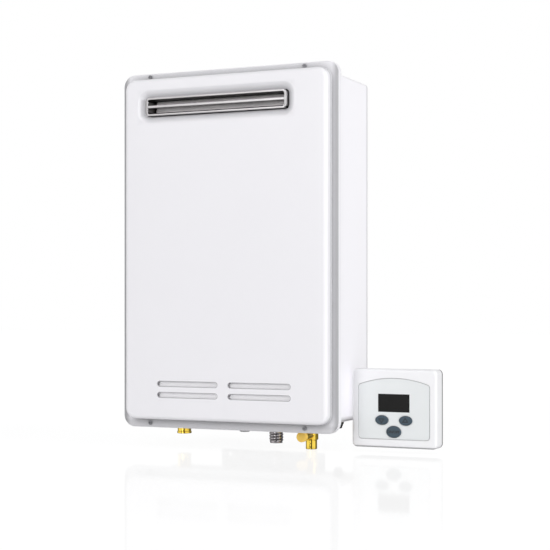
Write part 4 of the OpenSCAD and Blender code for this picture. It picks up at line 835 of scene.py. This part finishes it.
makeGland("powerGland", "power_gland", gland["power"], "black_plastic", "glandRubber")
makeGland("cableGland", "cable_gland", gland["cable"], "grey_plastic", "greyPlastic")


# Controller: soft-edged housing, arched fascia, window and three keys

remote = {
    "corner": 7 * mm, "edge": 4 * mm, "edgeSteps": 6, "wall": 2 * mm, "cutEdge": 0.25 * mm,
    "cutReach": 5 * mm, "arch": 9.7 * mm, "archSteps": 24, "archCorner": 3 * mm, "archCornerSteps": 5,
    "fasciaCorner": 5 * mm, "fasciaEdge": 0.5 * mm, "windowEdge": 0.4 * mm, "fineSteps": 3,
    "ledge": 1.5 * mm, "ease": 0.1 * mm, "groove": 0.9 * mm, "keyGap": 0.35 * mm, "keyReach": 20 * mm,
    "keyEdge": 1.2 * mm, "keyEdgeTurn": 18,  # degrees per step
    "keyWing": 2 * mm, "wingBack": 3.95 * mm, "wingThick": 2 * mm, "wingEase": 0.01 * mm, "stem": 2 * mm,
    "keys": (  # node, body, piece, arrow and its turn
        ("button_down", "key_down", "keyDown", "arrowDown", math.pi),
        ("button_up", "key_up", "keyUp", "arrowUp", 0),
        ("button_power", "key_power", "keyPower", None, 0),
    ),
    "mark": 0.12 * mm, "markGap": 0.02 * mm, "arrow": 5.6 * mm, "arrowHole": 2.8 * mm, "arrowHeight": 0.9,
    "letters": 5.2 * mm, "bold": 0.25 * mm,
    "names": ("button", "display", "tact", "key", "arrow", "onOff"),  # how its other pieces' names start
}


def archedPlate(name, low, high, grow):  # seen from the front, arched at the top
    side = high.z - remote["arch"]
    width = (high.x - low.x) / 2
    middle = (low.x + high.x) / 2
    radius = (width ** 2 + remote["arch"] ** 2) / (2 * remote["arch"]) + grow
    piece = addBlock(name, (low.x - grow, low.y, low.z - grow), (high.x + grow, high.y, side + grow))
    edit(piece)
    pick("edges", lambda edge: runsAlong(edge, 0) and level(edge, 2, side + grow))
    bpy.ops.mesh.subdivide(number_cuts=remote["archSteps"] - 1)
    ridge = pick("verts", lambda vert: abs(vert.co.z - side - grow) < tiny)
    columns = sorted({round(place.x, 7) for place in ridge})
    centre = high.z + grow - radius
    for x in columns:
        rise = centre + math.sqrt(radius ** 2 - (x - middle) ** 2) - side - grow
        pick("verts", lambda vert: abs(vert.co.x - x) < tiny and abs(vert.co.z - side - grow) < tiny)
        if abs(rise) > nothing:
            bpy.ops.transform.translate(value=(0, 0, rise))

    def corner(edge, top):
        end = abs(abs(edge.verts[0].co.x - middle) - width - grow) < tiny
        return runsAlong(edge, 1) and end and (edge.verts[0].co.z > side - mm) == top

    bevelEdges(lambda edge: corner(edge, False), remote["fasciaCorner"] + grow, remote["edgeSteps"])
    bevelEdges(lambda edge: corner(edge, True), remote["archCorner"] + grow, remote["archCornerSteps"])
    return piece


def makeHousing():
    low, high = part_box("controller_housing")
    plateLow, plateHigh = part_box("controller_fascia")
    piece = cornerBlock("controllerHousing", low, high, remote["corner"])
    bevelEdges(lambda edge: level(edge, 1, low.y), remote["edge"], remote["edgeSteps"])
    pick("faces", lambda face: level(face, 1, high.y))
    bpy.ops.mesh.delete(type="ONLY_FACE")
    thicken(piece, remote["wall"])
    pocketLow = Vector((plateLow.x, low.y - mm, plateLow.z))
    combine(piece, archedPlate("pocketCutter", pocketLow, plateHigh, remote["groove"]))
    pocketHigh = plateHigh + Vector((0, remote["cutReach"], 0))
    combine(piece, archedPlate("windowCutter", pocketLow, pocketHigh, -remote["ledge"]))
    softenEdges(piece, remote["cutEdge"])
    fit(piece, "controller", "white_plastic", "whitePlastic", "controller_housing")


def keySize(node):  # middle, and half the width and height of a key's oval
    low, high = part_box(node)
    half = (high - low) / 2
    return (low + high) / 2, half.x - remote["keyWing"], half.z


def makeFascia():
    low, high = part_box("controller_fascia")
    piece = archedPlate("controllerFascia", low, high, 0)
    bevelEdges(lambda edge: level(edge, 1, low.y) and edge.calc_face_angle() > foldAngle,
               remote["fasciaEdge"], remote["fineSteps"])
    take(piece)
    windowLow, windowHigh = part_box("display_window")
    spare = Vector((remote["ease"], mm, remote["ease"]))
    combine(piece, addBlock("windowCutter", windowLow - spare, windowHigh + spare))
    gap, reach = remote["keyGap"], remote["keyReach"]
    for node, *_ in remote["keys"]:
        middle, width, height = keySize(node)
        cutter = turnPiece("ovalCutter", [(width + gap, -reach), (width + gap, reach)], origin, "front")
        cutter.scale.z = (height + gap) / (width + gap)
        cutter.location = middle
        combine(piece, settle(cutter))
    fit(piece, "controller", "pale_plastic", "paleFilm", "controller_fascia")


def makeWindow():
    low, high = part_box("display_window")
    piece = cornerBlock("displayWindow", low, high, remote["windowEdge"], remote["fineSteps"])
    bevelEdges(lambda edge: level(edge, 1, low.y), remote["windowEdge"], remote["fineSteps"])
    fit(piece, "controller", "smoked_plastic", "smokedWindow", "display_window")


def makeKey(node, body, name):
    low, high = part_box(node)
    middle, width, height = keySize(node)
    edge = remote["keyEdge"]
    depth = remote["wingBack"] + remote["wingThick"]
    back = low.y + depth  # behind the wings
    turns = [math.radians(turn) for turn in range(90, -1, -remote["keyEdgeTurn"])]
    rings = [(width, 0)]
    rings += [(width - edge * (1 - math.sin(turn)), depth - edge * (1 - math.cos(turn))) for turn in turns]
    rings += [(0.5 * width, depth), (0.1 * width, depth)]
    piece = turnPiece(name, rings, origin, "front")
    piece.scale.z = height / width
    piece.location = (middle.x, back, middle.z)
    settle(piece)
    wingLow = (low.x, back - remote["wingThick"], middle.z - height / 2)
    wingHigh = (high.x, back - remote["wingEase"], middle.z + height / 2)
    combine(piece, addBlock("keyWings", wingLow, wingHigh), "UNION")
    stem = [(remote["stem"], 0), (remote["stem"], high.y - back + remote["wingThick"] / 2)]
    combine(piece, turnPiece("keyStem", stem, (middle.x, high.y, middle.z), "front", 32), "UNION")
    fit(piece, body, "slate_plastic", "slateRubber", node)
    return Vector((middle.x, low.y, middle.z))


def makeArrow(name, turn):
    arrow = turnPiece(name, [(remote["arrow"], 0), (remote["arrow"], remote["mark"])], origin, "front", 3)
    drill(arrow, remote["arrowHole"], 2 * remote["mark"], origin, "front", 3)
    arrow.rotation_euler.y = turn
    arrow.scale.z = remote["arrowHeight"]
    return arrow


def makeLetters():
    letters = add("onOffLetters", bpy.ops.object.text_add, rotation=(math.pi / 2, 0, 0))
    letters.data.body = "ON/OFF"
    letters.data.size = remote["letters"]
    letters.data.align_x = "CENTER"
    letters.data.align_y = "CENTER"
    letters.data.extrude = remote["mark"] / 2
    letters.data.offset = remote["bold"]
    letters.data.resolution_u = 4
    bpy.ops.object.convert(target="MESH")
    return bpy.context.object


def printMark(piece, body, face):
    piece.location = face - Vector((0, remote["markGap"], 0))
    settle(piece)
    paint(piece, "darkPrint")
    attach(piece, body)
    print("mark made:", piece.name)


makeHousing()
makeFascia()
makeWindow()
for node, body, name, arrow, turn in remote["keys"]:
    face = makeKey(node, body, name)
    printMark(makeArrow(arrow, turn) if arrow else makeLetters(), body, face)


# Painted shade, fixed to the object

rimLayer = (("Y", "GREATER_THAN", 16 * mm), ("Y", "LESS_THAN", 18.6 * mm))
edgeShades = (  # finish, node, side of its box, start and full shade in from there, amount, colour, limits
    ("coverEnamel", "front_cover", "-X", 11 * mm, 4 * mm, 0.75, (150, 150, 153), rimLayer),
    ("coverEnamel", "front_cover", "+X", 11 * mm, 4 * mm, 0.75, (150, 150, 153), rimLayer),
    ("coverEnamel", "front_cover", "-X", 12 * mm, 2 * mm, 0.26, (110, 110, 113), rimLayer),
    ("coverEnamel", "front_cover", "-Z", 13.5 * mm, 9 * mm, 0.28, (110, 110, 113), rimLayer),
    ("stainless", "flue_frame", "-X", 5 * mm, 3.5 * mm, 0.4, (90, 90, 92), ()),
    ("stainless", "flue_frame", "+X", 5 * mm, 3.5 * mm, 0.4, (90, 90, 92), ()),
    ("brushedVane", "flue_frame", "-Z", 8 * mm, 16.5 * mm, 0.72, (45, 44, 44),
     (("Z", "LESS_THAN", outlet["highVane"][0]),)),  # painted shade at the top of the lower vane, under the bar
    ("caseEnamel", "rear_case", "-Z", 8 * mm, 0, 0.8, (130, 130, 133), (("Z", "GREATER_THAN", 0.2 * mm),)),
    ("caseEnamel", "rear_case", "+Y", 9.5 * mm, 7.5 * mm, 0.42, (140, 140, 143),
     (("Y", "LESS_THAN", -0.3 * mm),)),
    ("whitePlastic", "controller_housing", "+Y", 6 * mm, 3 * mm, 0.95, (110, 110, 113),
     (("Z", "LESS_THAN", -0.3 * mm),)),
    ("whitePlastic", "controller_housing", "-Z", 3 * mm, 0.5 * mm, 0.9, (120, 120, 123), ()),
)
dishShade = {"reach": 14.5 * mm, "amount": 0.14, "colour": (120, 120, 122)}
slotShade = {"reach": 1.2 * mm, "amount": 0.75, "colour": (118, 118, 121)}


def addShade(tree, mask, shade):  # over the colour so far
    colour = tree.nodes["Principled BSDF"].inputs["Base Color"]
    feed(tree, colour, mixColour(tree, mask, colour.links[0].from_socket, tone(*shade)))


def shadeEdge(finish, node, side, start, end, amount, shade, limits):
    box = dict(zip("XYZ", zip(*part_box(node))))
    tree = finishes[finish].node_tree
    parts = axes(tree, objectPlace(tree))
    axis = side[1]
    edge, inwards = (box[axis][0], 1) if side[0] == "-" else (box[axis][1], -1)
    mask = stretch(tree, parts[axis], edge + inwards * start, edge + inwards * end, 0.0, amount)
    for axis, test, place in limits:  # measured from the low side or, if negative, from the high side
        past = calculate(tree, test, parts[axis], box[axis][place < 0] + place)
        mask = calculate(tree, "MULTIPLY", mask, past)
    addShade(tree, mask, shade)


def pastHalf(tree, value, middle, half):  # how far a value lies outside a stretch
    away = calculate(tree, "ABSOLUTE", calculate(tree, "SUBTRACT", value, middle), 0.0)
    return calculate(tree, "SUBTRACT", away, half)


def shadeDish():  # soft shade round the outlet, seen from the front
    low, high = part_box("flue_frame")
    middle, half = (low + high) / 2, (high - low) / 2
    tree = finishes["coverEnamel"].node_tree
    parts = axes(tree, objectPlace(tree))
    past = calculate(tree, "MAXIMUM", pastHalf(tree, parts["X"], middle.x, half.x),
                     pastHalf(tree, parts["Z"], middle.z, half.z))
    mask = stretch(tree, past, dishShade["reach"], 0.0, 0.0, dishShade["amount"])
    addShade(tree, mask, dishShade["colour"])


def shadeSlots():  # painted shade: a thin dark line along the edges of the intake slots
    tree = finishes["coverEnamel"].node_tree
    parts = axes(tree, objectPlace(tree))
    low, high = cover["slotRows"]
    end = cover["slotHeight"] / 2  # radius of a slot's ends
    right = calculate(tree, "ABSOLUTE", parts["X"], 0.0)
    x = calculate(tree, "MAXIMUM", pastHalf(tree, right, cover["slotX"], cover["slotLength"] / 2 - end), 0.0)
    z = pastHalf(tree, parts["Z"], (low + high) / 2, (high - low) / 2)
    across = addNode(tree, "ShaderNodeCombineXYZ", {"X": x, "Z": z}).outputs[0]
    away = vectors(tree, "LENGTH", across)["Value"]
    reach = slotShade["reach"]
    mask = stretch(tree, away, end + reach, end + reach / 2, 0.0, slotShade["amount"])
    addShade(tree, mask, slotShade["colour"])


for row in edgeShades:
    shadeEdge(*row)
shadeDish()
shadeSlots()
print("shade painted:", len(edgeShades) + 2)


# Stage: camera, floor, world and lamps

stage = {
    "eye": (0.92919, -2.05767, -0.08426), "turn": 24.2226, "lens": 92.49, "shift": 0.0557, "sight": 50,
    "floorSize": 16.0, "floorParts": 8, "floorMirror": 0.15, "floorRough": 0.06, "floorLit": 0.8,
    "floorGlow": 0.965, "floorPaint": 0.12, "floorNear": 0.6, "floorFar": 1.6,
    "ambient": 0.46, "darkFront": (0.1431, -0.9897, 0.0),  # middle of the dark sector that rounds mirror
    "darkStops": ((0.0, 0.16), (0.36, 0.22), (0.46, 1.0), (0.93, 1.0), (0.965, 0.1), (1.0, 0.08)),
    "backRight": (0.41, 0.912, 0.0), "backSpan": (0.84, 0.95), "darkBack": 0.35,  # in the case's side
    "horizon": -0.02, "goal": (0, -0.1, 0),
    "lamps": (
        ("keyLamp", (-0.9, -7.4, 2.4), 3.0, 144.0, True),
        ("frontLamp", (-0.3, -6.0, 0.0), 1.5, 66.0, True),
        ("sideLamp", (4.85, -0.7, 1.0), 1.2, 115.0, False),  # passes by the controller
    ),
}


def grey(value):
    return (value, value, value, 1.0)


def makeCamera():
    turn = (math.pi / 2, 0, math.radians(stage["turn"]))
    camera = add("Camera", bpy.ops.object.camera_add, location=stage["eye"], rotation=turn)
    camera.data.lens = stage["lens"]
    camera.data.shift_y = stage["shift"]
    camera.data.clip_end = stage["sight"]
    bpy.context.scene.camera = camera


def seenRays(tree):  # rays that show the background: straight, and mirrored or through glass
    path = addNode(tree, "ShaderNodeLightPath").outputs
    mirrored = calculate(tree, "MAXIMUM", path["Is Glossy Ray"], path["Is Transmission Ray"])
    return path["Is Camera Ray"], mirrored


def mixShader(tree, factor, first, second):
    return addNode(tree, "ShaderNodeMixShader", {0: factor, 1: first, 2: second}).outputs[0]


def makeFloor():
    parts = stage["floorParts"]
    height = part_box("inlet_fitting")[0].z
    floor = settle(add("floor", bpy.ops.mesh.primitive_grid_add, x_subdivisions=parts, y_subdivisions=parts,
                       size=stage["floorSize"], location=(0, 0, height)))
    material = bpy.data.materials.new("floorWhite")
    material.use_nodes = True
    tree = material.node_tree
    tree.nodes.remove(tree.nodes["Principled BSDF"])
    away = vectors(tree, "LENGTH", objectPlace(tree))["Value"]
    strength = stretch(tree, away, stage["floorNear"], stage["floorFar"], stage["floorGlow"], 1.0)
    glow = addNode(tree, "ShaderNodeEmission", {"Strength": strength}).outputs[0]
    shadow = addNode(tree, "ShaderNodeBsdfDiffuse", {"Color": grey(stage["floorPaint"])}).outputs[0]
    shown = addNode(tree, "ShaderNodeAddShader", {0: glow, 1: shadow}).outputs[0]
    lit = addNode(tree, "ShaderNodeBsdfDiffuse", {"Color": grey(stage["floorLit"])}).outputs[0]
    mirror = addNode(tree, "ShaderNodeBsdfGlossy", {"Roughness": stage["floorRough"]}).outputs[0]
    clear = addNode(tree, "ShaderNodeBsdfTransparent").outputs[0]  # mirrored rays see the world below
    straight, mirrored = seenRays(tree)
    whole = mixShader(tree, stage["floorMirror"], mixShader(tree, straight, lit, shown), mirror)
    feed(tree, tree.nodes["Material Output"].inputs["Surface"], mixShader(tree, mirrored, whole, clear))
    floor.data.materials.append(material)


def makeWorld():
    world = bpy.data.worlds.new("studio")
    bpy.context.scene.world = world
    world.use_nodes = True
    tree = world.node_tree
    back = tree.nodes["Background"].inputs
    straight, mirrored = seenRays(tree)
    parts = axes(tree, addNode(tree, "ShaderNodeTexCoord").outputs["Generated"])
    flat = addNode(tree, "ShaderNodeCombineXYZ", {"X": parts["X"], "Y": parts["Y"]}).outputs[0]
    flat = vectors(tree, "NORMALIZE", flat)[0]
    turn = vectors(tree, "DOT_PRODUCT", flat, stage["darkFront"])["Value"]
    ramp = addNode(tree, "ShaderNodeValToRGB", {"Fac": stretch(tree, turn, -1.0, 1.0)})
    for index, (position, value) in enumerate(stage["darkStops"]):
        stops = ramp.color_ramp.elements
        stop = stops[index] if index < 2 else stops.new(position)
        stop.position = position
        stop.color = grey(value)
    below = stretch(tree, parts["Z"], 0.0, stage["horizon"])
    side = vectors(tree, "DOT_PRODUCT", flat, stage["backRight"])["Value"]
    behind = stretch(tree, side, *stage["backSpan"], 1.0, stage["darkBack"])
    reflected = mixColour(tree, below, behind, ramp.outputs["Color"])
    feed(tree, back["Color"], mixColour(tree, mirrored, plainWhite, reflected))
    seen = calculate(tree, "MAXIMUM", straight, mirrored)
    feed(tree, back["Strength"], stretch(tree, seen, 0.0, 1.0, stage["ambient"], 1.0))


def makeLamps():
    heater = bpy.data.collections.new("heaterShadows")  # all but the controller
    for piece in bpy.context.scene.objects:
        apart = "controller" in piece.name or piece.name.startswith(remote["names"])
        if piece.type == "MESH" and not apart:
            heater.objects.link(piece)
    for name, place, size, power, blocked in stage["lamps"]:
        lamp = add(name, bpy.ops.object.light_add, type="AREA", location=place)
        lamp.data.size = size
        lamp.data.energy = power
        lamp.rotation_euler = (Vector(stage["goal"]) - Vector(place)).to_track_quat("-Z", "Y").to_euler()
        if not blocked:
            lamp.light_linking.blocker_collection = heater


makeCamera()
makeFloor()
makeWorld()
makeLamps()
bpy.context.scene.view_settings.view_transform = "Standard"
print("stage made")
